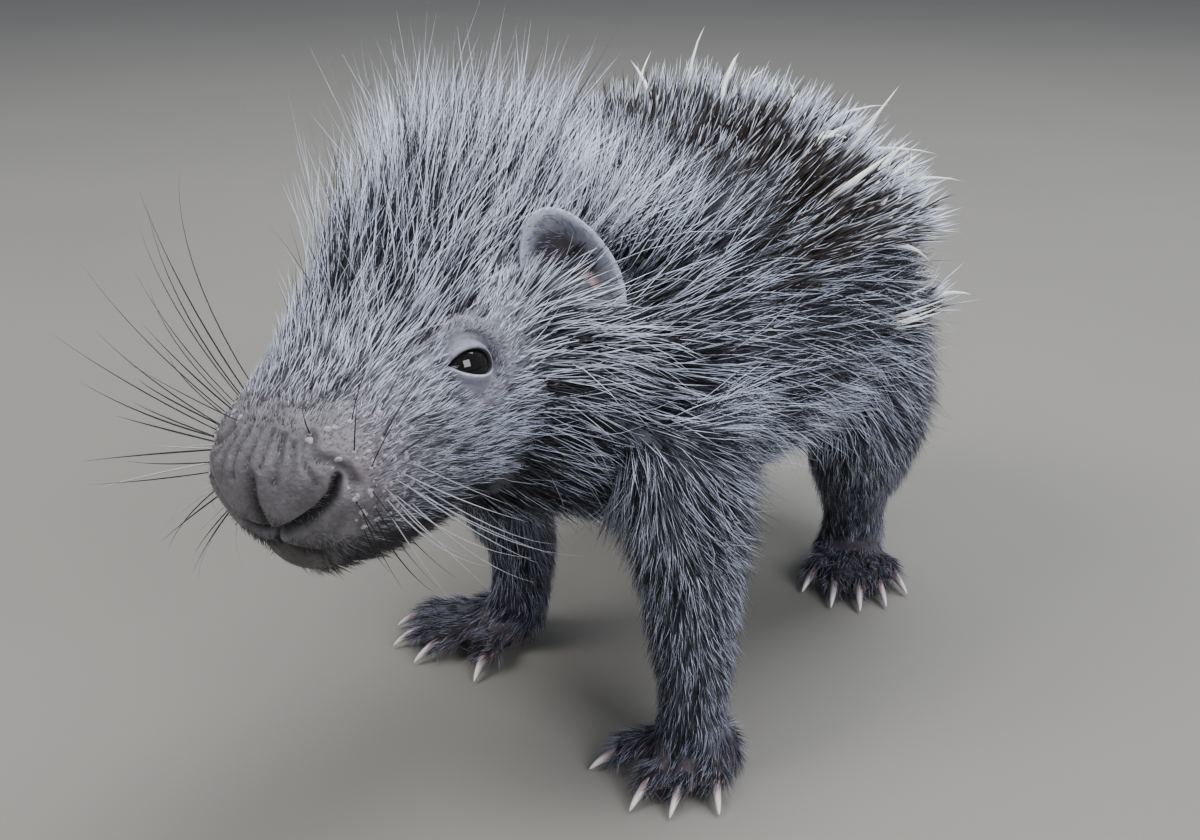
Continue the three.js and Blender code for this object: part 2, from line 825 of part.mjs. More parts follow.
add("head", headSolid, MATERIALS.coat);
add("neck", neckSolid, MATERIALS.coat);
add("torso", torsoSolid, MATERIALS.coat);
add("tail", tailSolid, MATERIALS.coat);
for (const [name, sign] of [["left", 1], ["right", -1]]) {
  add("ear_" + name, ears[name], MATERIALS.ear);
  add("eye_" + name, eyeSolid(sign, EYE_RADIUS), MATERIALS.eye);
}
for (const [name, leg] of Object.entries(legs)) add("leg_" + name, leg, MATERIALS.leg);
for (const [name, paw] of Object.entries(PAWS)) {
  add("paw_" + name, largest(pawSolid(paw).subtract(underFloor)), MATERIALS.leg);
  const pawGrown = pawSolid(paw, GAP);
  paw.toes.forEach((toe, i) => {
    const claw = largest(clawSolid(paw, toe).subtract(pawGrown));
    add("claw_" + name + "_" + (i + 1), claw, MATERIALS.claw);
  });
}

// The part's origin is on the floor under the middle of its box
const box = new THREE.Box3().setFromObject(porcupine);
const middle = box.getCenter(vec(0, 0, 0));
porcupine.position.set(-middle.x, -middle.y, -box.min.z);

export default porcupine;
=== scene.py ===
import math
from collections import namedtuple

import bmesh
import bpy
import numpy as np
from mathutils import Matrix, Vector
from mathutils.bvhtree import BVHTree
from mathutils.kdtree import KDTree


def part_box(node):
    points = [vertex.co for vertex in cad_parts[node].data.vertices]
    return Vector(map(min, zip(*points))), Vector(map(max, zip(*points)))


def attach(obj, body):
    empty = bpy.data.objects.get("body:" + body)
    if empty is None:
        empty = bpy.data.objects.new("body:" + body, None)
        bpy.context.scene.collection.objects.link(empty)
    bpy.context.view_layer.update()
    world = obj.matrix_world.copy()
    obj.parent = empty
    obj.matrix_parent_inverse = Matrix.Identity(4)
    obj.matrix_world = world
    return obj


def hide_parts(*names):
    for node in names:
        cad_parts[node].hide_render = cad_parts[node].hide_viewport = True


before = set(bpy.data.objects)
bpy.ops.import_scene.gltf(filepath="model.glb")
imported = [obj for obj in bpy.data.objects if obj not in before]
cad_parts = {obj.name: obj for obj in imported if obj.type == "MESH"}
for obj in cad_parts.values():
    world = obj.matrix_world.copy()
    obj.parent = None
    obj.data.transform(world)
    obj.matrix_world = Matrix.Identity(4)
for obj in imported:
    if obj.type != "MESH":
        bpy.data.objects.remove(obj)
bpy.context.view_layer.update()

# The plan of the body
# A baby Old World porcupine, about 200 mm from nose to rump, faces -Y with +X at its left side.
# Sizes and places are in millimetres on the animal's own plan, and MM turns them into metres.
MM = 0.001
UP = np.array([0.0, 0.0, 1.0])
HEAD_BASE = np.array([-12.0, -57.0, 79.0])
HEAD_YAW = math.radians(-5)
HEAD_PITCH = math.radians(6)
HEAD_ROLL = math.radians(3)
EYE_PLACE = (10.1, 15.4, 5.9)

head_ahead = np.array([-math.sin(HEAD_YAW), -math.cos(HEAD_YAW), 0])
head_forward = head_ahead * math.cos(HEAD_PITCH) - UP * math.sin(HEAD_PITCH)
head_level = np.cross(UP, head_ahead)
head_side = head_level * math.cos(HEAD_ROLL) + np.cross(head_forward, head_level) * math.sin(HEAD_ROLL)
head_up = np.cross(head_forward, head_side)
HEAD_AXES = np.array([head_forward, head_side, head_up])


def on_head(places):
    """Head places (forward, left, up) as points of the plan."""
    return HEAD_BASE + np.asarray(places, float) @ HEAD_AXES


# The plan lies in the shared frame where its left eye meets the solid one
eye_low, eye_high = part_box("eye_left")
SHIFT = np.array((eye_low + eye_high) / 2) / MM - on_head(EYE_PLACE)

# Camera, floor and light
# The camera stands in front of the animal and to its left, close by and looking down, as the
# photograph does. A plain warm grey floor and three wide soft lamps stand for the studio.
CAMERA_PLACE = np.array([134.0, -232.0, 160.0])
CAMERA_TURN = math.radians(32)
CAMERA_DOWN = math.radians(22)
SENSOR_WIDTH = 36
LENS = 41.4
NEAREST_SEEN = 0.01

camera_data = bpy.data.cameras.new("camera")
camera_data.sensor_width = SENSOR_WIDTH
camera_data.lens = LENS
camera_data.clip_start = NEAREST_SEEN
camera = bpy.data.objects.new("camera", camera_data)
bpy.context.scene.collection.objects.link(camera)
camera.location = Vector((CAMERA_PLACE + SHIFT) * MM)
camera.rotation_euler = (math.pi / 2 - CAMERA_DOWN, 0, CAMERA_TURN)
bpy.context.scene.camera = camera

BODY_MIDDLE = Vector((0, -0.01, 0.07))
LAMPS = {  # place and width in metres, watts and colour
    "key_lamp": ((-0.42, -0.62, 0.95), 0.5, 11, (1, 0.99, 0.98)),
    "top_lamp": ((0.15, 0.35, 1.1), 0.8, 20, (0.92, 0.96, 1)),
    "side_lamp": ((0.9, -0.38, 0.64), 0.52, 12, (0.92, 0.95, 1)),
}
for name, (place, width, watts, colour) in LAMPS.items():
    lamp_data = bpy.data.lights.new(name, "AREA")
    lamp_data.size = width
    lamp_data.energy = watts
    lamp_data.color = colour
    lamp = bpy.data.objects.new(name, lamp_data)
    bpy.context.scene.collection.objects.link(lamp)
    lamp.location = place
    lamp.rotation_euler = (BODY_MIDDLE - Vector(place)).to_track_quat("-Z", "Y").to_euler()

AIR_COLOUR = (0.78, 0.86, 1.0, 1)
AIR_STRENGTH = 0.47
world = bpy.data.worlds.new("studio_air")
bpy.context.scene.world = world
world.use_nodes = True
air = world.node_tree.nodes["Background"]
air.inputs["Color"].default_value = AIR_COLOUR
air.inputs["Strength"].default_value = AIR_STRENGTH

FLOOR_RADIUS = 4.0
FLOOR_SIDES = 96
FLOOR_TINT = (0.17, 0.16, 0.142)
floor_mesh = bpy.data.meshes.new("floor")
floor_form = bmesh.new()
bmesh.ops.create_circle(floor_form, cap_ends=True, segments=FLOOR_SIDES, radius=FLOOR_RADIUS)
floor_form.to_mesh(floor_mesh)
floor_form.free()
floor = bpy.data.objects.new("floor", floor_mesh)
bpy.context.scene.collection.objects.link(floor)


class Finish:
    """A material whose nodes are added and joined by short calls."""

    def __init__(self, name, **sockets):
        self.material = bpy.data.materials.new(name)
        self.material.use_nodes = True
        self.tree = self.material.node_tree
        self.shader = self.tree.nodes["Principled BSDF"]
        for socket, value in sockets.items():
            self.shader.inputs[socket.replace("_", " ")].default_value = value

    def node(self, kind, inputs=None, **settings):
        """A new node, with its inputs set to values or joined to other nodes."""
        made = self.tree.nodes.new("ShaderNode" + kind)
        for setting, value in settings.items():
            setattr(made, setting, value)
        for socket, value in (inputs or {}).items():
            if isinstance(value, bpy.types.NodeSocket):
                self.tree.links.new(value, made.inputs[socket])
            else:
                made.inputs[socket].default_value = value
        return made

    def noise(self, size_mm, detail=3, rough=0.55, stretch=(1, 1, 1)):
        """Noise on the object's own places, with features about size_mm across."""
        place = self.node("TexCoord").outputs["Object"]
        scaled = self.node("Mapping", {"Vector": place, "Scale": stretch}).outputs["Vector"]
        sockets = {"Vector": scaled, "Scale": 1 / (size_mm * MM), "Detail": detail, "Roughness": rough}
        return self.node("TexNoise", sockets).outputs["Fac"]

    def ramp(self, value, low, high, to_low=0.0, to_high=1.0):
        """A value spread from one range to another."""
        sockets = {"Value": value, "From Min": low, "From Max": high, "To Min": to_low, "To Max": to_high}
        return self.node("MapRange", sockets).outputs["Result"]

    def times(self, colour, value):
        """A colour made lighter or darker by a value."""
        made = self.node("VectorMath", {0: colour}, operation="SCALE")
        self.tree.links.new(value, made.inputs["Scale"])
        return made.outputs["Vector"]

    def bump(self, height, strength, distance_mm):
        """Fine relief of the surface from a height value."""
        sockets = {"Height": height, "Strength": strength, "Distance": distance_mm * MM}
        made = self.node("Bump", sockets)
        self.tree.links.new(made.outputs["Normal"], self.shader.inputs["Normal"])

    def put(self, socket, value):
        """Joins a value to a socket of the shader."""
        self.tree.links.new(value, self.shader.inputs[socket])


floor_finish = Finish("floor_paint", Roughness=0.85)
floor_shade = floor_finish.ramp(floor_finish.noise(160, 4), 0.3, 0.7, 0.96, 1.03)
floor_finish.put("Base Color", floor_finish.times(FLOOR_TINT, floor_shade))
floor_mesh.materials.append(floor_finish.material)

# Flesh forms
# The trunk, head, neck, legs, tail, palms and toes are rounded forms of soft flesh. Each is a closed
# mesh of rings a little smaller than its solid, as the coat stands on it.
TORSO_FRONT = -50
TORSO_LENGTH = 126
TORSO_AXIS_HEIGHT = 72
NOSE_REACH = 46
HEAD_LENGTH = 84
COAT_DEPTH = 2.6
FACE_COAT_DEPTH = 0.4


def unit(v):
    """A vector, or each row of vectors, at length 1."""
    return v / (np.linalg.norm(v, axis=-1, keepdims=True) + 1e-12)


def from_head(points):
    """Points of the plan as head places (forward, left, up)."""
    return (points - HEAD_BASE) @ HEAD_AXES.T


def rise(low, high, value):
    """0 at low, 1 at high, and a smooth rise or fall between them."""
    share = np.clip((value - low) / (high - low), 0, 1)
    return share * share * (3 - 2 * share)


def mix(a, b, share):
    """A value between a and b."""
    return a + (b - a) * share


def along(table, place):
    """A smooth curve through the rows of a table, each a place from 0 to 1 and the values there."""
    table = np.asarray(table, float)
    place = np.asarray(place, float)
    i = np.clip(np.searchsorted(table[:, 0], place, side="right") - 1, 0, len(table) - 2)
    start = table[i]
    end = table[i + 1]
    before = table[np.maximum(i - 1, 0)]
    after = table[np.minimum(i + 2, len(table) - 1)]
    span = end[..., :1] - start[..., :1]
    t = np.clip((place[..., None] - start[..., :1]) / span, 0, 1)
    slope_in = (end - before) / (end[..., :1] - before[..., :1]) * span
    slope_out = (after - start) / (after[..., :1] - start[..., :1]) * span
    curve = start + (end - start) * t * t * (3 - 2 * t)
    return (curve + t * (1 - t) * ((1 - t) * slope_in - t * slope_out))[..., 1:]


def opened(distance, reach, power):
    """How wide a form has opened at a distance from its end, from 0 to 1."""
    left = 1 - np.clip(distance / reach, 0, 1)
    return (1 - left**power) ** (1 / power)


class Form:
    """A rounded form along a straight axis. Its sections give a place along the axis and the half
    sizes across, above and below it there."""

    def __init__(self, sections, start, end, side, up, front, rear, squareness):
        self.sections = sections
        self.start = np.asarray(start, float)
        self.end = np.asarray(end, float)
        self.side = side
        self.up = up
        self.front = front
        self.rear = rear
        self.squareness = squareness

    def point(self, place, angle, grow=0.0):
        """Points of the form at places along its axis and angles round it, grown by some millimetres."""
        half, above, below = np.moveaxis(along(self.sections, place), -1, 0)
        open_share = opened(place, *self.front) * opened(1 - place, *self.rear)
        c = np.cos(angle)
        s = np.sin(angle)
        power = 2 / self.squareness
        out = np.sign(c) * np.abs(c) ** power * (half * open_share + grow)
        reach = np.where(s > 0, above, below) * open_share + grow
        high = np.sign(s) * np.abs(s) ** power * reach
        centre = mix(self.start, self.end, place[..., None])
        return centre + out[..., None] * self.side + high[..., None] * self.up

    def rings(self, grow, count=56, sides=64):
        """Rings of points, closer together near the two ends."""
        place = (1 - np.cos(np.pi * np.arange(1, count) / count)) / 2
        angle = 2 * np.pi * np.arange(sides) / sides
        return self.point(*np.meshgrid(place, angle, indexing="ij"), grow)

    def ends(self, grow):
        """The two end points of the form's axis."""
        ahead = unit(self.start - self.end)
        return self.start + ahead * grow, self.end - ahead * grow


torso = Form(
    np.array([
        [0.0, 0.62, 0.62, 0.64],
        [0.14, 0.8, 0.82, 0.86],
        [0.35, 0.94, 0.96, 0.98],
        [0.58, 1.0, 1.0, 1.02],
        [0.78, 0.97, 0.87, 1.0],
        [0.92, 0.82, 0.62, 0.86],
        [1.0, 0.62, 0.42, 0.66],
    ]) * [1, 40, 36, 36],
    [0, TORSO_FRONT, TORSO_AXIS_HEIGHT],
    [0, TORSO_FRONT + TORSO_LENGTH, TORSO_AXIS_HEIGHT],
    np.array([1.0, 0, 0]),
    UP,
    (0.2, 2.2),
    (0.28, 2.1),
    2.15,
)
head = Form(
    [
        [0.0, 11.5, 6, 13.5],
        [0.1, 14.5, 9, 18],
        [0.25, 17.5, 13, 21.5],
        [0.4, 21, 17.5, 23],
        [0.55, 24.5, 21, 24.5],
        [0.75, 27, 23, 26],
        [1.0, 26, 22, 25],
    ],
    on_head([NOSE_REACH, 0, 0]),
    on_head([NOSE_REACH - HEAD_LENGTH, 0, 0]),
    head_side,
    head_up,
    (0.14, 2.4),
    (0.2, 2),
    2.15,
)
NECK_FRONT = on_head([-4, 0, -3])
NECK_REAR = np.array([0, TORSO_FRONT + 32, TORSO_AXIS_HEIGHT])
neck_forward = unit(NECK_FRONT - NECK_REAR)
neck_side = unit(np.cross(UP, neck_forward))
neck = Form(
    np.array([[0, 0.9, 0.82, 0.9], [0.5, 1, 0.95, 1], [1, 1.06, 1.04, 1.06]]) * [1, 28, 28, 28],
    NECK_FRONT,
    NECK_REAR,
    neck_side,
    np.cross(neck_forward, neck_side),
    (0.1, 2),
    (0.1, 2),
    2.1,
)


def ring_faces(rings, sides):
    """Triangles of a closed skin over rings of points, with its two end points first and last."""
    ring = 1 + sides * np.arange(rings)[:, None]
    here = np.arange(sides)
    nearby = (here + 1) % sides
    a, b = ring[:-1] + here, ring[:-1] + nearby
    c, d = ring[1:] + nearby, ring[1:] + here
    walls = np.concatenate([np.stack([a, b, c], -1), np.stack([a, c, d], -1)]).reshape(-1, 3)
    first = np.stack([np.zeros_like(here), 1 + nearby, 1 + here], -1)
    last = ring[-1, 0]
    end = np.stack([np.full_like(here, last + sides), last + here, last + nearby], -1)
    return np.concatenate([walls, first, end])


def closed(rings, first, last):
    """Points and outward triangles of a closed form from its rings and two end points."""
    count, sides = rings.shape[:2]
    points = np.concatenate([[first], rings.reshape(-1, 3), [last]])
    faces = ring_faces(count, sides)
    a, b, c = points[faces[:, 0]], points[faces[:, 1]], points[faces[:, 2]]
    if np.einsum("ij,ij->", a, np.cross(b, c)) < 0:
        faces = faces[:, ::-1]
    return points, faces


END_ROUNDING = 0.3


def tube(places, halves, rings=26, sides=28, grow=0.0):
    """A closed tube of changing half sizes, with a rounded end at each end of its path."""
    path = np.column_stack([np.linspace(0, 1, len(places)), places])
    widths = np.column_stack([np.linspace(0, 1, len(halves)), halves])
    at = np.linspace(0, 1, rings)
    centre = along(path, at)
    ahead = unit(np.gradient(centre, axis=0))
    side = unit(np.array([1.0, 0, 0]) - ahead * ahead[:, :1])
    front = np.cross(ahead, side)
    wide, deep = (along(widths, at) + grow).T
    angle = 2 * np.pi * np.arange(sides) / sides
    ring = np.cos(angle)[None, :, None] * side[:, None] * wide[:, None, None]
    ring = ring + np.sin(angle)[None, :, None] * front[:, None] * deep[:, None, None]
    first = centre[0] - ahead[0] * (grow + END_ROUNDING * wide[0])
    last = centre[-1] + ahead[-1] * (grow + END_ROUNDING * wide[-1])
    return closed(centre[:, None] + ring, first, last)


def ball(centre, halves, axes=np.eye(3), sides=28, rings=16):
    """A closed rounded lump with its own half sizes along three axes."""
    rise_angle = np.pi * np.arange(1, rings) / rings - np.pi / 2
    angle = 2 * np.pi * np.arange(sides) / sides
    e, a = np.meshgrid(rise_angle, angle, indexing="ij")
    local = np.stack([np.cos(e) * np.cos(a), np.cos(e) * np.sin(a), np.sin(e)], -1)
    rings = centre + (local * halves) @ axes
    return closed(rings, centre - axes[2] * halves[2], centre + axes[2] * halves[2])


# Paws have a palm and toes, whose ends are given to the left of and ahead of the palm's middle
Paw = namedtuple("Paw", "place turn halves toes")
PAWS = {
    "front_left": Paw([33, -36], 2, [8.6, 9], [[6.4, 6], [2.2, 9.8], [-2.6, 11.4], [-10.6, 6.6]]),
    "front_right": Paw([-27, -18], -30, [8.6, 9], [[-9.6, 11], [-4.4, 13.8], [1.6, 12.4], [9.6, 6.4]]),
    "hind_left": Paw([27, 54], 26, [8.6, 14], [[8, 7], [5, 11.8], [0.8, 14], [-3.8, 13.2], [-7.6, 8]]),
    "hind_right": Paw([-29, 62], -20, [8.6, 14], [[-8, 7], [-5, 11.8], [-0.8, 14], [3.8, 13.2], [7.6, 8]]),
}
PALM_HALF_HEIGHT = 6.5
PALM_AXIS = 3.5
PALM_SETBACK = 1.2
PALM_COAT = np.array([0.9, 1.4, 0.8])  # how far the palm lies under its coat
PAW_LIE_DROP = 0.35
TOE_RADIUS = 3.1
TOE_SWELLS = (0.95, 0.72, 0.88, 0.66)
TOE_STEPS = [[0.6, 0.3, 4.8], [0.94, 0.8, 4.7], [1.16, 1.16, 2.6]]  # shares of a toe's place, and height

# Legs run from the shoulder or hip to the wrist or heel, with half sizes across and along the body
LEG_COAT = 0.9
LEG_LIE = unit(np.array([0, 0.25, -1.0]))
FRONT_HALVES = [[12, 15], [10.5, 12], [7.6, 8], [6.6, 7]]
HIND_HALVES = [[16, 22], [13.5, 17], [8.5, 10], [7.2, 8]]
LEGS = {
    "front_left": ([[22, -29, 66], [28.5, -33, 46], [33, -38, 24], [33, -38, 5]], FRONT_HALVES),
    "front_right": ([[-21, -27, 66], [-22, -23, 46], [-20, -17, 24], [-23, -16, 5]], FRONT_HALVES),
    "hind_left": ([[26, 42, 64], [32, 42, 44], [27, 54, 22], [25, 60, 5]], HIND_HALVES),
    "hind_right": ([[-26, 46, 64], [-33, 48, 44], [-29, 62, 22], [-27, 69, 5]], HIND_HALVES),
}
TAIL_PLACES = [[0, 62, 62], [2, 76, 61], [9, 88, 59]]
TAIL_HALVES = [[8.4, 8.4], [6, 6], [2.8, 2.8]]
TAIL_LIE = [0.3, 0.9, -0.1]
CHIN_PLACE = (31.5, 0, -12)
CHIN_HALVES = np.array([10.5, 9.5, 8.6])


def paw_point(paw, left, forward, high):
    """A point of the plan from its place on a paw."""
    turn = math.radians(paw.turn)
    return np.array([
        paw.place[0] + left * math.cos(turn) + forward * math.sin(turn),
        paw.place[1] + left * math.sin(turn) - forward * math.cos(turn),
        high,
    ])


def toe_path(paw, toe):
    """Points from the root of a toe over its knuckle to its end."""
    left, forward = toe
    return np.array([paw_point(paw, left * out, forward * ahead, high) for out, ahead, high in TOE_STEPS])


def paw_axes(paw):
    """The ways to the left, to the rear and up at a paw."""
    turn = math.radians(paw.turn)
    left = np.array([math.cos(turn), math.sin(turn), 0])
    return np.array([left, np.cross(UP, left), UP])


flesh = []  # each form with its name and the lie of the coat at its points


def add_form(name, mesh, lie):
    """Adds a form, with one lie of the coat for all its points."""
    flesh.append((name, *mesh, np.broadcast_to(lie, mesh[0].shape)))


for name, form in [("torso", torso), ("neck", neck)]:
    mesh = closed(form.rings(-COAT_DEPTH), *form.ends(-COAT_DEPTH))
    add_form(name, mesh, unit(form.end - form.start))

head_rings = head.rings(0)
head_grow = -mix(FACE_COAT_DEPTH, COAT_DEPTH, rise(18, -12, from_head(head_rings)[..., 0]))
head_middle = mix(head.start, head.end, np.linspace(0, 1, len(head_rings))[:, None, None])
head_rings = head_rings + unit(head_rings - head_middle) * head_grow[..., None]
add_form("head", closed(head_rings, *head.ends(-FACE_COAT_DEPTH)), -head_forward)
add_form("head", ball(on_head(CHIN_PLACE), CHIN_HALVES, HEAD_AXES), -head_forward)

for name, (leg_places, leg_halves) in LEGS.items():
    add_form("leg_" + name, tube(np.array(leg_places, float), leg_halves, grow=-LEG_COAT), LEG_LIE)
    paw = PAWS[name]
    axes = paw_axes(paw)
    palm_middle = np.array([*paw.place, PALM_AXIS]) + axes[1] * PALM_SETBACK
    palm_halves = np.array([*paw.halves, PALM_HALF_HEIGHT]) - PALM_COAT
    add_form("paw_" + name, ball(palm_middle, palm_halves, axes), unit(-axes[1] - UP * PAW_LIE_DROP))
    for toe in paw.toes:
        path = toe_path(paw, toe)
        widths = [[TOE_RADIUS * share] * 2 for share in TOE_SWELLS]
        add_form("paw_" + name, tube(path, widths, 16, 18), unit(path[2] - path[0]))
add_form("tail", tube(np.array(TAIL_PLACES, float), TAIL_HALVES), TAIL_LIE)


# Body skin
# One skin covers the whole animal, from the velvety nose to the soles, with no seam. The forms are
# fused by a voxel remesh, eased where they meet, and refined over the face and paws.
SKIN_VOXEL = 0.95
PAW_TOP = 11


def as_written(points):
    """Points of the plan as the numbers of a mesh, in metres in the shared frame."""
    return ((points + SHIFT) * MM).astype(np.float32).ravel()


def new_piece(name, points, faces):
    """A mesh piece from points of the plan and triangles."""
    mesh = bpy.data.meshes.new(name)
    mesh.vertices.add(len(points))
    mesh.vertices.foreach_set("co", as_written(points))
    mesh.loops.add(faces.size)
    mesh.loops.foreach_set("vertex_index", faces.astype(np.int32).ravel())
    mesh.polygons.add(len(faces))
    mesh.polygons.foreach_set("loop_start", np.arange(0, faces.size, 3, dtype=np.int32))
    mesh.polygons.foreach_set("use_smooth", np.full(len(faces), True))
    mesh.update(calc_edges=True)
    piece = bpy.data.objects.new(name, mesh)
    bpy.context.scene.collection.objects.link(piece)
    return piece


def joined(meshes):
    """Several (points, faces) as one."""
    offsets = np.cumsum([0] + [len(points) for points, _ in meshes])
    faces = [faces + offset for (_, faces), offset in zip(meshes, offsets)]
    return np.concatenate([points for points, _ in meshes]), np.concatenate(faces)


skin = new_piece("body_skin", *joined([(points, faces) for _, points, faces, _ in flesh]))
remesh = skin.modifiers.new("fuse", "REMESH")
remesh.mode = "VOXEL"
remesh.voxel_size = SKIN_VOXEL * MM
remesh.use_smooth_shade = True
separate_forms = skin.data
fused = skin.evaluated_get(bpy.context.evaluated_depsgraph_get())
skin_mesh = bpy.data.meshes.new_from_object(fused)
skin.modifiers.clear()
skin.data = skin_mesh
bpy.data.meshes.remove(separate_forms)
skin.data.name = "body_skin"


def read_off_mesh(items, field, columns, kind=np.float32):
    """A field of a mesh's points, edges or faces, as rows."""
    values = np.zeros(len(items) * columns, kind)
    items.foreach_get(field, values)
    return values.reshape(-1, columns)


def read_points(mesh):
    return read_off_mesh(mesh.vertices, "co", 3).astype(float) / MM - SHIFT


def read_normals(mesh):
    return read_off_mesh(mesh.vertices, "normal", 3).astype(float)


def read_edges(mesh):
    return read_off_mesh(mesh.edges, "vertices", 2, np.int32)


def write_points(mesh, points):
    mesh.vertices.foreach_set("co", as_written(points))
    mesh.update()


def eased(values, edges, rounds, share=0.6):
    """Values at the vertices, each moved towards the mean of its neighbours. share may vary."""
    values = np.array(values, float)
    count = np.bincount(edges.ravel(), minlength=len(values))[:, None] + 1e-9
    share = np.broadcast_to(np.asarray(share, float).reshape(-1, 1), (len(values), 1))
    for _ in range(rounds):
        total = np.zeros_like(values)
        for k in range(values.shape[1]):
            total[:, k] = np.bincount(edges[:, 0], values[edges[:, 1], k], len(values))
            total[:, k] += np.bincount(edges[:, 1], values[edges[:, 0], k], len(values))
        values += share * (total / count - values)
    return values


def near_face_and_floor(points, fade):
    """How near points are to the face, and to the floor with its own fade, from 0 to 1."""
    return rise(-6, 12, from_head(points)[:, 0]), rise(PAW_TOP + fade, PAW_TOP, points[:, 2])


points = read_points(skin.data)
near_face, near_floor = near_face_and_floor(points, 6)
softness = 0.6 * (1 - 0.75 * near_face) * (1 - 0.85 * near_floor)
write_points(skin.data, eased(points, read_edges(skin.data), 26, softness))

refining = bmesh.new()
refining.from_mesh(skin.data)
fine = (from_head(points)[:, 0] > 1) | (points[:, 2] < PAW_TOP)
refining.verts.ensure_lookup_table()
fine_edges = [e for e in refining.edges if fine[e.verts[0].index] and fine[e.verts[1].index]]
bmesh.ops.subdivide_edges(refining, edges=fine_edges, cuts=1, use_grid_fill=True)
bmesh.ops.triangulate(refining, faces=refining.faces)
refining.to_mesh(skin.data)
refining.free()

points = read_points(skin.data)
edges = read_edges(skin.data)
near_face, near_floor = near_face_and_floor(points, 4)
points = eased(points, edges, 4, 0.5 * np.maximum(near_face, 0.5 * near_floor))
write_points(skin.data, points)


# Face folds
# The nose pad has a slit nostril on each side, a crease down its middle and soft upright wrinkles,
# and the lips meet in a line below it. Each fold is raised from the skin or pressed in along a path,
# and the deeper pressed folds are marked for painted black shade in the skin's tint.
NOSTRIL = [
    [39.9, 11.8, 0.6], [40.8, 10.9, -1.7], [42, 9.3, -3.6],
    [43.2, 7.3, -5.3], [44, 4.8, -6.7], [44.2, 1.8, -8.6],
]
NOSE_WING = [[41.3, 8.9, 1.8], [43, 6.6, -1.4], [44.4, 3.8, -4.6]]
LIP_WING = [[39.8, 12.4, -3.6], [41.4, 9.9, -6.6], [42.6, 6.4, -9]]
NOSE_CREASE = [[45.6, 0, 1.4], [45.6, 0, -3.6], [44.1, 0, -9.4]]
PAD_EDGE = [[44.2, 1.8, -8.6], [43.9, 0, -9.5], [44.2, -1.8, -8.6]]
LIP_CLEFT = [[44, 0, -9.4], [43.2, 0, -11.6]]
MOUTH_LINE = [[40.4, 5.6, -13.8], [42.4, 3, -12.6], [43.2, 0, -11.6]]
WING_GROOVE = [[38.7, 7.3, 6.4], [40.6, 9.0, 4.2], [39.6, 11.2, 3.1], [38.6, 13.0, 1.5], [38, 13.6, -0.8]]
WHISKER_PAD = [[39, 12, -3], [34, 14.4, -3]]
EYE_BROW = [[15, 15.6, 12.2], [10, 16.8, 12.6], [5, 19, 11]]
FIRST_WRINKLE = [[40.3, 3.4, 6.6], [43.1, 4.2, 4], [44.9, 3.9, 0.9]]
SECOND_WRINKLE = [[40.9, 5.7, 5.8], [43.1, 6.5, 2.6], [43.8, 6.2, -0.4]]
OUTER_WRINKLE = [[39.9, 6.9, 6.2], [42, 8.2, 3.3], [41.9, 9.4, 0.6]]
INNER_WRINKLE = [[40.0, 1.3, 7.0], [42.2, 1.2, 5.6], [44.7, 1.4, 3.0]]
SIDE_FOLDS = [  # path, width and height, pressed in where the height is below 0
    (NOSE_WING, 2.0, 0.75),
    (LIP_WING, 1.7, 0.6),
    (WHISKER_PAD, 4.6, 1.0),
    (WING_GROOVE, 0.9, -0.9),
    (NOSTRIL, 0.74, -2.7),
    (MOUTH_LINE, 0.8, -1.3),
    (EYE_BROW, 2.4, 0.5),
    (FIRST_WRINKLE, 0.62, -0.7),
    (SECOND_WRINKLE, 0.62, -0.6),
    (OUTER_WRINKLE, 0.6, -0.55),
    (INNER_WRINKLE, 0.6, -0.55),
]
MIDDLE_FOLDS = [(NOSE_CREASE, 1.0, -1.0), (PAD_EDGE, 0.9, -0.9), (LIP_CLEFT, 0.8, -1.0)]
FOLD_SHADE_DEPTH = 1.3  # a fold this deep is painted black inside, as shade
SIDES = {"left": 1, "right": -1}


def mirrored(places, sign):
    """Head places of the left side, or their likes on the right."""
    return np.asarray(places, float) * [1, sign, 1]


def fold_share(places, path, width):
    """How strongly each head place lies on a path, 1 on it and near 0 beyond its width."""
    nearest = np.full(len(places), np.inf)
    for start, end in zip(path[:-1], path[1:]):
        span = end - start
        t = np.clip((places - start) @ span / (span @ span), 0, 1)
        nearest = np.minimum(nearest, np.linalg.norm(places - start - t[:, None] * span, axis=1))
    return np.exp(-((nearest / width) ** 2))


places = from_head(points)
on_face = np.nonzero(places[:, 0] > -2)[0]
push = np.zeros(len(on_face))
fold_shade = np.zeros(len(points))  # how much painted shade each point gets from lying deep in a fold
both_sides = [(mirrored(path, sign), *size) for sign in SIDES.values() for path, *size in SIDE_FOLDS]
for path, width, height in both_sides + MIDDLE_FOLDS:
    pressed = height * fold_share(places[on_face], np.array(path, float), width)
    push += pressed
    fold_shade[on_face] = np.maximum(fold_shade[on_face], np.clip(-pressed / FOLD_SHADE_DEPTH, 0, 1))
normals = read_normals(skin.data)
points[on_face] += normals[on_face] * push[:, None]

# Grooves part the toes, from the knuckles on past the ends
PAW_REACH = 24
TOE_GROOVE_WIDTH = 0.9
TOE_GROOVE_DEPTH = 1.3
TOE_GROOVE_LIFT = 1.6
TOE_GROOVE_RUN = 2.5
for paw in PAWS.values():
    is_near = (points[:, 2] < PAW_TOP) & (np.linalg.norm(points[:, :2] - paw.place, axis=1) < PAW_REACH)
    near_paw = np.nonzero(is_near)[0]
    for toe, other in zip(paw.toes[:-1], paw.toes[1:]):
        middle = (toe_path(paw, toe) + toe_path(paw, other)) / 2
        middle[:, 2] += TOE_GROOVE_LIFT
        middle[2] += unit(middle[2] - middle[1]) * TOE_GROOVE_RUN
        pressed = TOE_GROOVE_DEPTH * fold_share(points[near_paw], middle[1:], TOE_GROOVE_WIDTH)
        points[near_paw] -= normals[near_paw] * pressed[:, None]

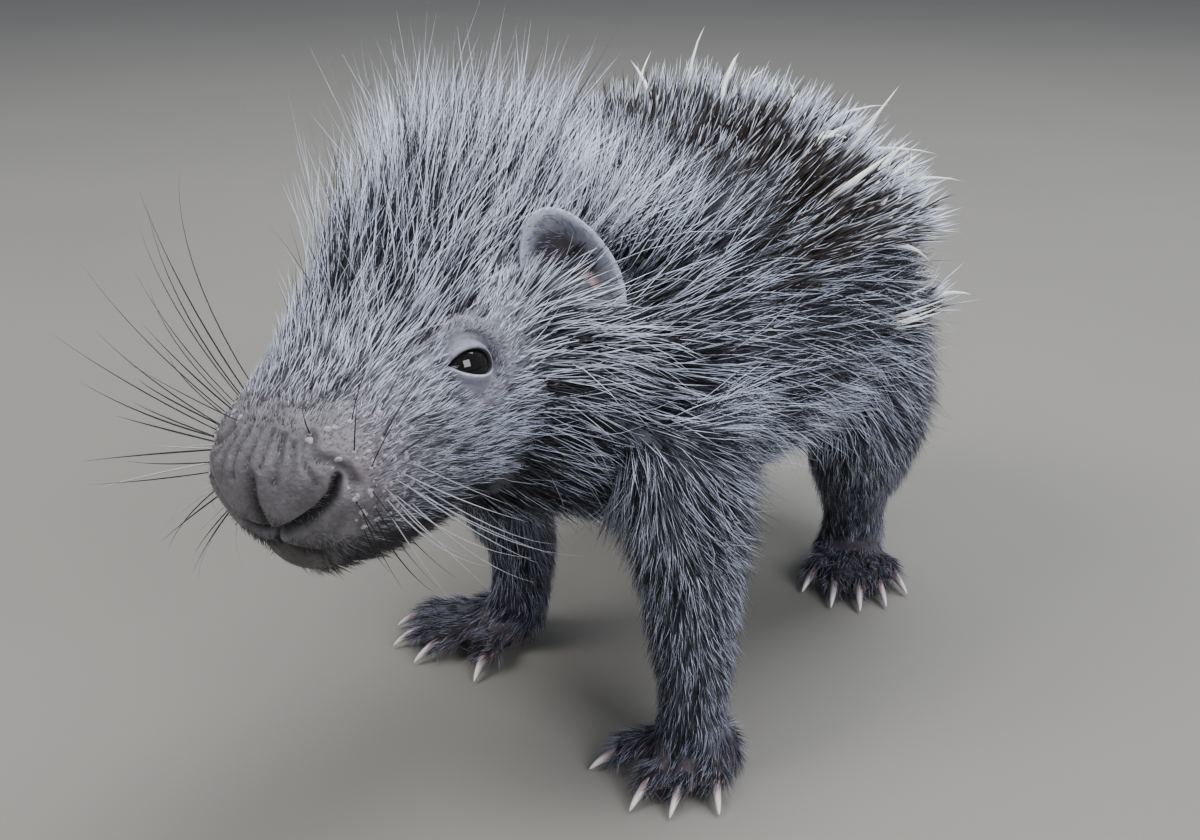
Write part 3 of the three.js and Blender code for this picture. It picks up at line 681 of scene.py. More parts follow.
# The soles are flat on the floor
points[:, 2] = np.maximum(points[:, 2], -SHIFT[2])
write_points(skin.data, points)
skin_tree = BVHTree.FromPolygons(points.tolist(), [tuple(p.vertices) for p in skin.data.polygons])


# Eyes
# Small wet eyes of so dark a brown that they look black, set well out at the sides of the head. Each
# is a fine ball in the place of its solid.
EYE_RADIUS = 4.6
EYE_OUT = unit(np.array([0.32, 0.866, 0.384]))
EYE_ALONG = unit(np.array([-0.854, 0.439, -0.28]))
EYE_RISE = np.cross(EYE_OUT, EYE_ALONG)
EYE_BROWN = (0.004, 0.0028, 0.0026)

eye_finish = Finish("wet_eye", Roughness=0.03, IOR=1.4)
eye_shade = eye_finish.ramp(eye_finish.noise(0.5, 4), 0.35, 0.7, 0.6, 1.5)
eye_finish.put("Base Color", eye_finish.times(EYE_BROWN, eye_shade))

for side_name, sign in SIDES.items():
    centre = on_head(mirrored(EYE_PLACE, sign))
    eye = new_piece("eyeball_" + side_name, *ball(centre, np.full(3, EYE_RADIUS), sides=64, rings=40))
    eye.data.materials.append(eye_finish.material)
    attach(eye, "root")
    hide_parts("eye_" + side_name)


# Tints of the skin and coat
# Colour is laid on by place: a paleness and two colours, dark at the root and pale at the tip, vary
# over the body, and both the skin and each tuft read them.
DARK_BROWN = np.array([0.023, 0.0205, 0.025])
BLUE_BLACK = np.array([0.021, 0.0205, 0.0265])
SPINE_BROWN = np.array([0.018, 0.012, 0.010])
SILVER = np.array([0.50, 0.54, 0.66])
WHITE_GREY = np.array([0.72, 0.76, 0.87])
FACE_GREY = np.array([0.42, 0.43, 0.50])
MUZZLE_GREY = np.array([0.105, 0.096, 0.103])
LEG_SHEEN = np.array([0.125, 0.13, 0.166])
LILAC_GREY = np.array([0.15, 0.14, 0.168])


def waves(points, size, seed):
    """A smooth random field over the plan, about -1 to 1, with swells about size across."""
    random = np.random.default_rng(seed)
    ways = unit(random.normal(size=(14, 3))) * (2 * np.pi / size) * random.uniform(0.6, 1.5, (14, 1))
    phases = random.uniform(0, 2 * np.pi, 14)
    return np.sin(points @ ways.T + phases).sum(axis=1) / 3.2


LEG_FUR_TOP = 46  # above it the coat of a leg runs back as well as down
UPPER_LEG_LIE = unit(np.array([0, 0.6, -0.8]))
KINDS = ["head", "neck", "torso", "tail", "leg", "paw"]
LIMBS = list(LEGS)
sample_kinds = []
sample_limbs = []
sample_lies = []
form_tree = KDTree(sum(len(form_points) for _, form_points, _, _ in flesh))
for name, form_points, _, lie in flesh:
    kind, _, limb = name.partition("_")
    for point, way in zip(form_points, lie):
        form_tree.insert(point, len(sample_kinds))
        sample_kinds.append(KINDS.index(kind))
        sample_limbs.append(LIMBS.index(limb) if limb else -1)
        sample_lies.append(UPPER_LEG_LIE if kind == "leg" and point[2] > LEG_FUR_TOP else way)
form_tree.balance()
sample_kinds = np.array(sample_kinds)
sample_limbs = np.array(sample_limbs)
sample_lies = np.array(sample_lies)

nearest = np.array([form_tree.find(point)[1] for point in points])
limb_at = sample_limbs[nearest]
shares = eased(np.eye(len(KINDS))[sample_kinds[nearest]], edges, 16)
on_kind = dict(zip(KINDS, shares.T))
normals = read_normals(skin.data)
soft_normals = unit(eased(normals, edges, 8))
places = from_head(points)
left_places = np.column_stack([places[:, 0], np.abs(places[:, 1]), places[:, 2]])
forward_of_head = places[:, 0]
crown_angle = np.degrees(np.arctan2(places[:, 2], left_places[:, 1] + 1e-6))
crown = rise(36, 62, crown_angle)
throat = rise(-30, -62, crown_angle)
topness = soft_normals[:, 2]
torso_place = np.clip((points[:, 1] - TORSO_FRONT) / TORSO_LENGTH, 0, 1)
top = rise(0.3, 0.8, topness)
under = rise(-0.25, -0.75, topness)
off_eye = np.linalg.norm(left_places - EYE_PLACE, axis=1)
bare_eye = rise(5.2, 10, off_eye)
nose_pad = rise(38, 41.5, forward_of_head) * rise(-10.5, -7, places[:, 2])


def blob(centre, reach):
    """1 at a head place and its mirror image, falling to 0 beyond reach."""
    return np.exp(-((np.linalg.norm(left_places - centre, axis=1) / reach) ** 2))


def round_body(side, above, below):
    """A value on the sides, the top and the underside of the body."""
    return mix(mix(side, above, top), below, under)


def blended(*values):
    """A value of the coat from its values on the head, neck, torso, tail, legs and paws."""
    return sum(on_kind[kind] * value for kind, value in zip(KINDS, values))


def blended_tint(*tints):
    """A tint of the coat from its tints on the same six kinds of form."""
    return sum(on_kind[kind][:, None] * tint for kind, tint in zip(KINDS, tints))


def read_off(place, pairs):
    """A value read off a table of places and values."""
    table = np.array(pairs, float)
    return np.interp(place, table[:, 0], table[:, 1])


# Length of the coat in millimetres, from the nose at 46 to the back of the skull at -38
crown_length = read_off(
    forward_of_head,
    [(-38, 27), (-20, 31), (-5, 30), (6, 25), (14, 17), (22, 10), (28, 6), (33, 3.4), (38, 1.9), (46, 1.1)],
)
cheek_length = read_off(
    forward_of_head,
    [(-38, 13), (-15, 8.5), (0, 6.8), (10, 5.6), (20, 4.4), (27, 3.4), (34, 2.4), (40, 1.5), (46, 1.0)],
)
throat_length = read_off(forward_of_head, [(-38, 14), (0, 9), (20, 7), (32, 5), (39, 3), (44, 1.2)])
head_length = mix(mix(cheek_length, crown_length, crown), throat_length, throat)
head_length = head_length * mix(0.13, 1, bare_eye)
BEFORE_EAR = (-4, 22, 10)
from_ear_front = np.linalg.norm(left_places - BEFORE_EAR, axis=1)
head_length = np.minimum(head_length, mix(2.8, 31, rise(9, 22, from_ear_front)))
flank_length = read_off(torso_place, [(0, 15), (0.5, 18), (1, 17)])
back_length = read_off(torso_place, [(0, 26), (0.2, 19), (0.32, 12), (1, 10)])
leg_length = read_off(points[:, 2], [(6, 4.6), (20, 5), (44, 7), (58, 11)])
coat_length = blended(
    head_length, round_body(14, 28, 12), round_body(flank_length, back_length, 8.5), 10, leg_length, 4.6
)

# Lift is the angle from the skin at the root in degrees, bend the angle lost towards the tip
crown_lift = read_off(
    forward_of_head,
    [(-38, 52), (-20, 60), (-5, 58), (6, 50), (14, 38), (22, 30), (30, 23), (38, 18), (46, 22)],
)
throat_lift = read_off(forward_of_head, [(10, 14), (34, 30)])
back_lift = read_off(torso_place, [(0, 54), (0.3, 48), (0.6, 38), (1, 26)])
coat_lift = blended(
    mix(mix(17, crown_lift, crown), throat_lift, throat),
    round_body(19, 56, 14),
    round_body(17, back_lift, 12),
    26,
    16,
    21,
)
coat_bend = blended(mix(8, 16, crown), mix(8, 18, top), mix(9, 16, top), 6, 8, 6)
face_radius = read_off(forward_of_head, [(-10, 0.085), (10, 0.075), (25, 0.062), (40, 0.05)])
coat_radius = blended(mix(face_radius, 0.1, crown), 0.1, 0.105, 0.11, 0.062, 0.058)

# Paleness is the share of hairs that are pale from near the root
TEMPLE = (-10, 20, 15)
PALE_PATCHES = [  # place on the head, reach and how much paler
    (TEMPLE, 17, 0.42),
    ((24, 8, 8), 9, 0.25),
    ((12, 20, -5), 9, 0.34),
]
head_paleness = 0.44 - 0.08 * crown
for place, reach, more in PALE_PATCHES:
    head_paleness = head_paleness + more * blob(place, reach)
head_paleness = head_paleness - 0.25 * rise(-11, -17, places[:, 2]) - 0.36 * throat
neck_paleness = mix(mix(0.24, 0.54, rise(0, 0.6, topness)), 0.1, under)
flank_paleness = read_off(torso_place, [(0, 0.38), (0.3, 0.22), (0.7, 0.2), (1, 0.34)])
flank_paleness = flank_paleness + 0.36 * rise(0.1, -0.3, topness)
dark_back = top * rise(0.12, 0.34, torso_place)
torso_paleness = mix(mix(flank_paleness, 0.1, dark_back), 0.6, under)
# painted sheen: below the elbow the leg hairs are paler on the side that faces this way
LEG_SHEEN_FACING = np.array([0.75, 0.65, 0])
painted_leg_sheen = rise(0.1, 0.7, soft_normals @ LEG_SHEEN_FACING) * rise(46, 38, points[:, 2])
paleness = blended(head_paleness, neck_paleness, torso_paleness, 0.6, 0.36 + 0.3 * painted_leg_sheen, 0.42)
BEHIND_EAR = (-25, 22, 13)
paleness = paleness + 0.4 * blob(BEHIND_EAR, 10)

face_share = rise(12, 30, forward_of_head)[:, None]
head_pale = mix(mix(SILVER, WHITE_GREY, blob(TEMPLE, 18)[:, None]), FACE_GREY, face_share)
head_pale = mix(head_pale, MUZZLE_GREY * 1.5, rise(30, 41, forward_of_head)[:, None])
head_dark = mix(DARK_BROWN, MUZZLE_GREY * 0.45, face_share)
torso_dark = mix(BLUE_BLACK, SPINE_BROWN, (top * rise(0.2, 0.4, torso_place))[:, None])
dark_tint = blended_tint(head_dark, DARK_BROWN, torso_dark, DARK_BROWN, BLUE_BLACK, DARK_BROWN)
leg_pale = mix(LEG_SHEEN * 2.9, SILVER, rise(24, 52, points[:, 2])[:, None])
neck_pale = mix(SILVER * 0.8, WHITE_GREY, rise(0, 0.6, topness)[:, None])
pale_tint = blended_tint(head_pale, neck_pale, SILVER, WHITE_GREY, leg_pale, LEG_SHEEN * 1.8)

# The coat lies back over the head and body, a little down over the flanks, up over the temples, and
# down the legs to the toes
lie = eased(sample_lies[nearest], edges, 16)
temple = rise(5, 38, crown_angle) * rise(80, 50, crown_angle) * rise(24, 6, forward_of_head)
lie += UP * (on_kind["head"] * (0.55 * temple - 0.25 * throat))[:, None]
lie -= UP * (0.34 * (on_kind["torso"] + on_kind["neck"]) * (1 - np.abs(topness)))[:, None]
paw_ways = [-paw_axes(PAWS[limb])[1] - UP * 0.3 for limb in LIMBS] + [UP * 0]
near_paw = on_kind["paw"] + on_kind["leg"] * rise(16, 8, points[:, 2])
lie += 2 * near_paw[:, None] * np.array(paw_ways)[limb_at]
lie -= soft_normals * np.einsum("ij,ij->i", lie, soft_normals)[:, None]
lie = unit(lie)

# Skin finish
# Thin soft skin: grey-brown and finely pebbled on the nose, lilac round the eyes, dark under the
# coat, and pink between the toes, with painted black shade in the nostril slits and deeper folds.
# Its tints follow the coat's.
NOSE_PAD_TINT = np.array([0.08, 0.072, 0.077])
PAD_PINK = np.array([0.22, 0.18, 0.19])
BROW_PINK = np.array([0.36, 0.28, 0.30])
TOE_PINK = np.array([0.26, 0.15, 0.155])
PAW_TINT = np.array([0.035, 0.027, 0.032])
SHADE_BLACK = np.array([0.006, 0.005, 0.005])
LIP_BROWN = np.array([0.045, 0.036, 0.033])

skin_tint = mix(dark_tint * 1.15, pale_tint, 0.18 * np.clip(paleness, 0, 1)[:, None])
lip_zone = np.clip(1.6 * blob((42, 0, -14.5), 6.0), 0, 1) * rise(-11.4, -12.6, places[:, 2])
sole_pink = on_kind["paw"] * rise(0.35, -0.35, topness)
skin_layers = [  # each tint and where it lies, one over another
    (MUZZLE_GREY * 0.95, on_kind["head"] * rise(14, 34, forward_of_head)),
    (NOSE_PAD_TINT, nose_pad * on_kind["head"]),
    (PAD_PINK, 0.5 * blob((36, 13, 0), 5.5)),
    (LILAC_GREY, 0.85 * blob((17, 17, 5), 12)),
    (LILAC_GREY, 1 - rise(6.5, 12, off_eye)),
    (BROW_PINK, 0.8 * blob((11, 15, 12.6), 3.2)),
    (LIP_BROWN, lip_zone),
    # painted shade: the nostril slits and deeper folds are painted near black by their depth
    (SHADE_BLACK, fold_shade),
    (mix(PAW_TINT, TOE_PINK, sole_pink[:, None]), on_kind["paw"]),
]
for tint, share in skin_layers:
    skin_tint = mix(skin_tint, tint, share[:, None])
skin_tint *= (1 + 0.12 * waves(points, 5, 71) + 0.08 * waves(points, 1.6, 72))[:, None]
skin_tint = np.clip(skin_tint, 0.002, 1)


def add_tint(mesh, tint):
    """Colours of a mesh's points, as an attribute named tint."""
    colours = np.column_stack([tint, np.ones(len(tint))]).astype(np.float32)
    mesh.attributes.new("tint", "FLOAT_COLOR", "POINT").data.foreach_set("color", colours.ravel())


def tinted(finish, size_mm, low=0.8, high=1.22):
    """The tint of a finish's mesh, mottled by a fine noise."""
    tint = finish.node("Attribute", attribute_name="tint").outputs["Color"]
    mottle = finish.ramp(finish.noise(size_mm, 4), 0.25, 0.75, low, high)
    finish.put("Base Color", finish.times(tint, mottle))


PEBBLE_SIZE = 0.75
skin_finish = Finish("soft_skin", IOR=1.42, Sheen_Weight=0.1, Sheen_Roughness=0.5)
tinted(skin_finish, 0.7)
skin_finish.put("Roughness", skin_finish.ramp(skin_finish.noise(1.2), 0.3, 0.7, 0.48, 0.7))
skin_places = skin_finish.node("TexCoord").outputs["Object"]
pebbles = skin_finish.node("TexVoronoi", {"Vector": skin_places, "Scale": 1 / (PEBBLE_SIZE * MM)})
grains = {0: pebbles.outputs["Distance"], 1: skin_finish.noise(0.35, 3)}
skin_finish.bump(skin_finish.node("Math", grains, operation="ADD").outputs[0], 0.45, 0.25)
skin.data.materials.clear()
skin.data.materials.append(skin_finish.material)
add_tint(skin.data, skin_tint)
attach(skin, "root")
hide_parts("head", "neck", "torso", "tail")
for limb in LIMBS:
    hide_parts("leg_" + limb, "paw_" + limb)


# Eyelids
# Bare lilac lids close round each eye in an almond with a crease over it. Painted shade darkens
# the rim where it tucks against the ball and along the creases, and a painted wet glint lies along
# the lower rim. They are fine rings of skin that lie on the ball and run out under the coat.
LID_TINT = np.array([0.17, 0.165, 0.21])
OPENING_HALF = 4.1
OPENING_ABOVE = 2.35
OPENING_BELOW = 1.8
LID_REACH = 8.2
LID_THICKNESS = 0.5
RIM_TUCK = 0.15
LID_PUFF = 0.42
UPPER_CREASE = 0.38
LOWER_CREASE = 0.2
LID_EDGE_DIP = 0.55
LID_RINGS = 22
LID_SIDES = 96


def eye_axes(sign):
    """The ways out of an eye, along its opening and up over it."""
    return [mirrored(axis, sign) @ HEAD_AXES for axis in (EYE_OUT, EYE_ALONG, EYE_RISE)]


def swell(share, middle, width):
    """1 at a middle, falling to 0 beyond a width."""
    return math.exp(-(((share - middle) / width) ** 2))


def eyelid(sign):
    """Points, triangles and tints of a lid, ring by ring from the eye's opening outward."""
    centre = on_head(mirrored(EYE_PLACE, sign))
    out, across, upward = eye_axes(sign)
    angle = 2 * np.pi * np.arange(LID_SIDES) / LID_SIDES
    c = np.cos(angle)
    s = np.sin(angle)
    sharp = mix(1.0, 1.5, rise(0, -1, c))
    height = np.where(s > 0, OPENING_ABOVE, OPENING_BELOW) * np.sign(s) * np.abs(s) ** sharp * (1 + 0.2 * c)
    edge = np.stack([OPENING_HALF * c, height], -1)
    far = np.stack([c, s], -1) * LID_REACH
    rings = []
    tints = []
    for row in range(LID_RINGS):
        share = max(row - 1, 0) / (LID_RINGS - 2)
        spot = mix(edge, far, share**1.15)
        reach = np.linalg.norm(spot, axis=1)
        ball_radius = EYE_RADIUS + (LID_THICKNESS if row else -RIM_TUCK)
        on_ball = np.sqrt(np.maximum(ball_radius**2 - reach**2, 0.4))
        spots = centre + spot[:, :1] * across + spot[:, 1:] * upward
        on_skin = []
        for spot_point, default in zip(spots, on_ball):
            hit = skin_tree.ray_cast(tuple(spot_point + out * 12), tuple(-out))[0]
            on_skin.append(default if hit is None else (np.array(hit) - centre) @ out)
        high = mix(on_ball, np.array(on_skin), rise(0.1, 0.75, share))
        puff = LID_PUFF * swell(share, 0.14, 0.13)
        crease = UPPER_CREASE * swell(share, 0.36, 0.055) * rise(-0.2, 0.5, s)
        crease = crease + LOWER_CREASE * swell(share, 0.3, 0.05) * rise(0.1, -0.6, s)
        high = high + (puff if row else 0) - crease - LID_EDGE_DIP * rise(0.84, 1, share)
        rings.append(spots + high[:, None] * out)
        # painted shade: the rim where the lid tucks against the ball is painted near black
        tint = mix(LID_TINT, SHADE_BLACK * 3, swell(share, 0, 0.065) * 0.92)
        # painted highlight: a pale wet glint along the lower rim of the lid
        painted_wet_glint = swell(share, 0.05, 0.03) * rise(-0.2, -0.7, s)
        tint = mix(tint, WHITE_GREY, 0.45 * painted_wet_glint[:, None])
        tint = mix(tint, LILAC_GREY, rise(0.16, 0.5, share))
        # painted shade: the lid is darkened along its creases by their depth
        tints.append(tint * (1 - 0.45 * np.clip(crease, 0, 1))[:, None])
    ring = LID_SIDES * np.arange(LID_RINGS - 1)[:, None]
    here = np.arange(LID_SIDES)
    a, b = ring + here, ring + (here + 1) % LID_SIDES
    c, d = a + LID_SIDES, b + LID_SIDES
    faces = np.concatenate([np.stack([a, c, b], -1), np.stack([b, c, d], -1)]).reshape(-1, 3)
    return np.concatenate(rings), faces if sign > 0 else faces[:, ::-1], np.concatenate(tints)


for side_name, sign in SIDES.items():
    lid_points, lid_faces, lid_tint = eyelid(sign)
    lid = new_piece("eyelids_" + side_name, lid_points, lid_faces)
    add_tint(lid.data, lid_tint)
    lid.data.materials.append(skin_finish.material)
    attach(lid, "root")
    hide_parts("head")

# The skin goes in under the lids
SOCKET_DEPTH = 3.2
for sign in SIDES.values():
    out, across, upward = eye_axes(sign)
    from_eye = points - on_head(mirrored(EYE_PLACE, sign))
    reach = np.hypot(from_eye @ across, from_eye @ upward)
    inward = SOCKET_DEPTH * rise(7.3, 5.8, reach) * (from_eye @ out > -2)
    points -= inward[:, None] * out
write_points(skin.data, points)


# Claws
# Long curved claws of pale horn, pink over the quick and white at the tip, one at the end of each
# toe. Each is a tapered horn that goes into its toe.
CLAW_LENGTH = 5.2
CLAW_SINK = 0.15
CLAW_RUN = 1.3
CLAW_RADIUS = 1.42
CLAW_NARROWING = 0.78
CLAW_ROOT_HEIGHT = 3.6
CLAW_TIP_HEIGHT = 0.75
CLAW_RINGS = 14
CLAW_SIDES = 14
CLAW_ROOT_TINT = np.array([0.30, 0.17, 0.18])
CLAW_MIDDLE_TINT = np.array([0.35, 0.26, 0.27])
CLAW_TIP_TINT = np.array([0.56, 0.51, 0.51])

claw_finish = Finish("claw_horn", Roughness=0.3, IOR=1.5, Coat_Weight=0.3, Coat_Roughness=0.2)
tinted(claw_finish, 0.6, 0.86, 1.1)
claw_finish.bump(claw_finish.noise(0.4, 3, stretch=(1, 1, 3)), 0.2, 0.1)


def claw_horn(paw, toe):
    """Points, triangles and tints of the claw of a toe."""
    path = toe_path(paw, toe)
    ahead = unit((path[2] - path[1]) * [1, 1, 0])
    across = np.cross(UP, ahead)
    share = np.linspace(0, 0.985, CLAW_RINGS)
    centre = path[2] + ahead * ((share[:, None] * CLAW_RUN - CLAW_SINK) * CLAW_LENGTH)
    centre[:, 2] = mix(CLAW_ROOT_HEIGHT, CLAW_TIP_HEIGHT, share**2)
    half = CLAW_RADIUS * (1 - share) ** 0.5
    angle = 2 * np.pi * np.arange(CLAW_SIDES) / CLAW_SIDES
    ring = np.cos(angle)[None, :, None] * across * (half * CLAW_NARROWING)[:, None, None]
    ring = ring + np.sin(angle)[None, :, None] * UP * half[:, None, None]
    tip = centre[-1] + ahead * 0.12
    claw_points, faces = closed(centre[:, None] + ring, centre[0], tip)
    at = np.concatenate([[0], np.repeat(share, CLAW_SIDES), [1]])[:, None]
    tint = mix(CLAW_ROOT_TINT, CLAW_MIDDLE_TINT, rise(0.1, 0.5, at))
    return claw_points, faces, mix(tint, CLAW_TIP_TINT, rise(0.45, 0.85, at))


for limb, paw in PAWS.items():
    for i, toe in enumerate(paw.toes):
        claw_points, claw_faces, claw_tint = claw_horn(paw, toe)
        claw = new_piece(f"horn_{limb}_{i + 1}", claw_points, claw_faces)
        add_tint(claw.data, claw_tint)
        claw.data.materials.append(claw_finish.material)
        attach(claw, "root")
        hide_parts(f"claw_{limb}_{i + 1}")


# Ears
# Round thin ears open forward and out, dark in the cup, with a rolled lilac rim and a pink fold
# inside. Each is one closed shell that goes into the side of the head.
EAR_MIDDLE = (-13.4, 24.4, 13.4)
EAR_HALF_WIDTH = 7.8
EAR_HALF_HEIGHT = 12.8
EAR_TAPER = 0.14
EAR_CUP = 5.0
REAR_EDGE_DROP = 2.6
RIM_CURL = 1.3
EAR_FOLD = 1.5
EAR_FOLD_PLACE = (3.1, -4)
EAR_FOLD_BOW = 0.03
EAR_FOLD_WIDTH = 1.1
EAR_ROOT_THICKNESS = 2.2
EAR_RIM_THICKNESS = 0.95
EAR_RINGS = 26
EAR_SIDES = 72
EAR_RIM_TINT = np.array([0.40, 0.42, 0.51])
EAR_CUP_TINT = np.array([0.035, 0.026, 0.03])
EAR_FOLD_TINT = np.array([0.42, 0.27, 0.26])
EAR_OPENS = unit(np.array([0.66, 0.72, 0.2]))
EAR_LEANS = np.array([0.03, -0.41, 0.91])
EAR_LEANS = unit(EAR_LEANS - EAR_OPENS * (EAR_LEANS @ EAR_OPENS))
EAR_REARWARD = np.cross(EAR_LEANS, EAR_OPENS)

ear_finish = Finish("ear_skin", Roughness=0.55, IOR=1.42, Sheen_Weight=0.3)
tinted(ear_finish, 0.9, 0.84, 1.16)
ear_finish.bump(ear_finish.noise(0.5, 4), 0.35, 0.2)


def ear_shell(sign):
    """Points, triangles and tints of an ear: its cup from the middle out, then its back to the middle."""
    centre = on_head(mirrored(EAR_MIDDLE, sign))
    axes = mirrored([EAR_REARWARD, EAR_LEANS, EAR_OPENS], sign) @ HEAD_AXES
    angle = 2 * np.pi * np.arange(EAR_SIDES) / EAR_SIDES
    shares = np.linspace(0.06, 1, EAR_RINGS)
    rings = []
    tints = []
    for is_back, share in [(False, share) for share in shares] + [(True, share) for share in shares[::-1]]:
        x = EAR_HALF_WIDTH * share * np.cos(angle) * (1 - EAR_TAPER * np.sin(angle))
        y = EAR_HALF_HEIGHT * share * np.sin(angle)
        deep = -EAR_CUP * (1 - share**2.2)
        deep = deep - REAR_EDGE_DROP * rise(0.1, -0.9, np.cos(angle)) * share
        curl = RIM_CURL * np.exp(-(((share - 0.9) / 0.11) ** 2))
        high = deep + curl * rise(-0.6, 0.2, np.cos(angle) + np.sin(angle))
        if is_back:
            thickness = mix(EAR_ROOT_THICKNESS, EAR_RIM_THICKNESS, share)
            high = high - thickness * (1 - 0.55 * rise(0.96, 1, share))
            tint = np.broadcast_to(EAR_RIM_TINT * 0.85, (EAR_SIDES, 3))
        else:
            from_fold = x - EAR_FOLD_PLACE[0] + EAR_FOLD_BOW * (y - EAR_FOLD_PLACE[1]) ** 2
            fold = EAR_FOLD * np.exp(-((from_fold / EAR_FOLD_WIDTH) ** 2)) * rise(1, -5, y)
            high = high + fold
            tint = mix(EAR_CUP_TINT, EAR_RIM_TINT, rise(0.55, 0.92, share)) * np.ones((EAR_SIDES, 1))
            tint = mix(tint, EAR_FOLD_TINT, np.clip(fold / 1.2, 0, 1)[:, None])
        rings.append(centre + np.stack([x, y, high], -1) @ axes)
        tints.append(tint)
    rings = np.array(rings)
    shell_points, faces = closed(rings, rings[0].mean(0), rings[-1].mean(0))
    return shell_points, faces, np.concatenate([[EAR_CUP_TINT], *tints, [EAR_RIM_TINT]])


for side_name, sign in SIDES.items():
    ear_points, ear_faces, ear_tint = ear_shell(sign)
    ear = new_piece("ear_shell_" + side_name, ear_points, ear_faces)
    add_tint(ear.data, ear_tint)
    ear.data.materials.append(ear_finish.material)
    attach(ear, "root")
    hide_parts("ear_" + side_name)


# Coat
# A dense coat of soft flat bristles, dark at the root and silver at the tip, and darker still near the
# skin from painted shade: a standing crest over the crown and nape, long over the flanks, and down to
# a velvet on the nose and paws. Each bristle is a thin three-sided blade, and they are joined into one
# piece for each part of the body.
bristle_finish = Finish("coat_bristle", Roughness=0.42, IOR=1.32)
tinted(bristle_finish, 1.4, 0.84, 1.16)
bristle_finish.bump(bristle_finish.noise(0.3, 2), 0.15, 0.05)

TUFT_PATCH = 0.003
NOSE_TIP = -108
BODY_SPAN = 206
LEG_HEIGHT = 72
MAP_MIDDLE = -4
BLADE_WIDTH = 1.25
BLADE_DEPTH = 0.8
FLOOR_GAP = 0.15


def unwrapped(points, limb):
    """Places on the body laid out flat: round the trunk in the upper part, each limb in a strip."""
    from_axis = points[:, 2] - TORSO_AXIS_HEIGHT
    round_trunk = np.arctan2(points[:, 0] - MAP_MIDDLE, from_axis) / (2 * np.pi) + 0.5
    nose_to_tail = np.clip((points[:, 1] - NOSE_TIP) / BODY_SPAN, 0, 1)
    flat = np.stack([0.02 + 0.95 * round_trunk, 0.42 + 0.56 * nose_to_tail], -1)
    for k, name in enumerate(LIMBS):
        middle = np.mean(LEGS[name][0], axis=0)
        turn = np.arctan2(points[:, 0] - middle[0], points[:, 1] - middle[1]) / (2 * np.pi) + 0.5
        high = 0.02 + 0.37 * np.clip(points[:, 2] / LEG_HEIGHT, 0, 1)
        strip = np.stack([(k + 0.06 + 0.88 * turn) / 4, high], -1)
        flat = np.where((limb == k)[:, None], strip, flat)
    return flat


def grow(name, root, normal, way, size, tint_at, limb, segments, sides=3, taper=0.6, sink=0.5):
    """A piece of tapered blades. size holds each blade's length, lift, bend, sway and radius, and
    tint_at gives the blades' tints at shares of their length."""
    length, lift, bend, sway, radius = size
    count = len(root)
    side = unit(np.cross(normal, way))
    along_skin = np.cross(side, normal)
    centre = root - normal * sink
    step = (length + sink) / segments
    turn = 2 * np.pi * (np.arange(sides) + 0.25) / sides
    rings = []
    for k in range(segments):
        share = k / segments
        angle = lift - bend * share
        ahead = along_skin * np.cos(angle)[:, None] + normal * np.sin(angle)[:, None]
        ahead = unit(ahead + side * (sway * (0.4 + share))[:, None])
        across = unit(np.cross(ahead, np.cross(side, ahead)))
        face = np.cross(ahead, across)
        half = radius * (1 - share) ** taper * (0.8 + 0.5 * math.sin(math.pi * min(share * 1.3, 1)))
        wide = (BLADE_WIDTH * half)[:, None, None]
        deep = (BLADE_DEPTH * half)[:, None, None]
        ring = centre[:, None] + np.cos(turn)[None, :, None] * across[:, None] * wide
        ring = ring + np.sin(turn)[None, :, None] * face[:, None] * deep
        rings.append(ring)
        centre = centre + ahead * step[:, None]
    blade_points = np.concatenate([*rings, centre[:, None]], axis=1)
    blade_points[..., 2] = np.maximum(blade_points[..., 2], FLOOR_GAP - SHIFT[2])
    per_blade = segments * sides + 1
    here = np.arange(sides)
    nearby = (here + 1) % sides
    faces = [np.stack([np.zeros(sides - 2, int), here[2:], here[1:-1]], -1)]
    for k in range(segments - 1):
        a, b = k * sides + here, k * sides + nearby
        faces.append(np.stack([a, b, b + sides], -1))
        faces.append(np.stack([a, b + sides, a + sides], -1))
    last = (segments - 1) * sides
    faces.append(np.stack([last + here, last + nearby, np.full(sides, segments * sides)], -1))
    faces = np.concatenate(faces)
    all_faces = (faces[None] + (np.arange(count) * per_blade)[:, None, None]).reshape(-1, 3)
    shares = np.append(np.repeat(np.arange(segments) / segments, sides), 1.0)
    tint = tint_at(shares)
    tint = tint / np.maximum(tint.max(axis=-1, keepdims=True), 1)
    piece = new_piece(name, blade_points.reshape(-1, 3), all_faces)
    add_tint(piece.data, np.clip(tint.reshape(-1, 3), 0.001, 1))
    across_patch = np.append(np.tile(here / sides, segments), 0.5)
    patch = np.stack([across_patch, shares], -1) * TUFT_PATCH
    flat = (unwrapped(root, limb)[:, None] + patch[None]).reshape(-1, 2)
    bake_map = piece.data.uv_layers.new(name="OFBake")
    bake_map.data.foreach_set("uv", flat[all_faces.ravel()].astype(np.float32).ravel())
    piece.data.materials.append(bristle_finish.material)
    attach(piece, "root")
    return piece


triangles = read_off_mesh(skin.data.polygons, "vertices", 3, np.int32)
corners = points[triangles]
areas = np.linalg.norm(np.cross(corners[:, 1] - corners[:, 0], corners[:, 2] - corners[:, 0]), axis=1) / 2
fields = np.column_stack([
    soft_normals, lie, coat_length, coat_lift, coat_bend, coat_radius, paleness, dark_tint, pale_tint,
])


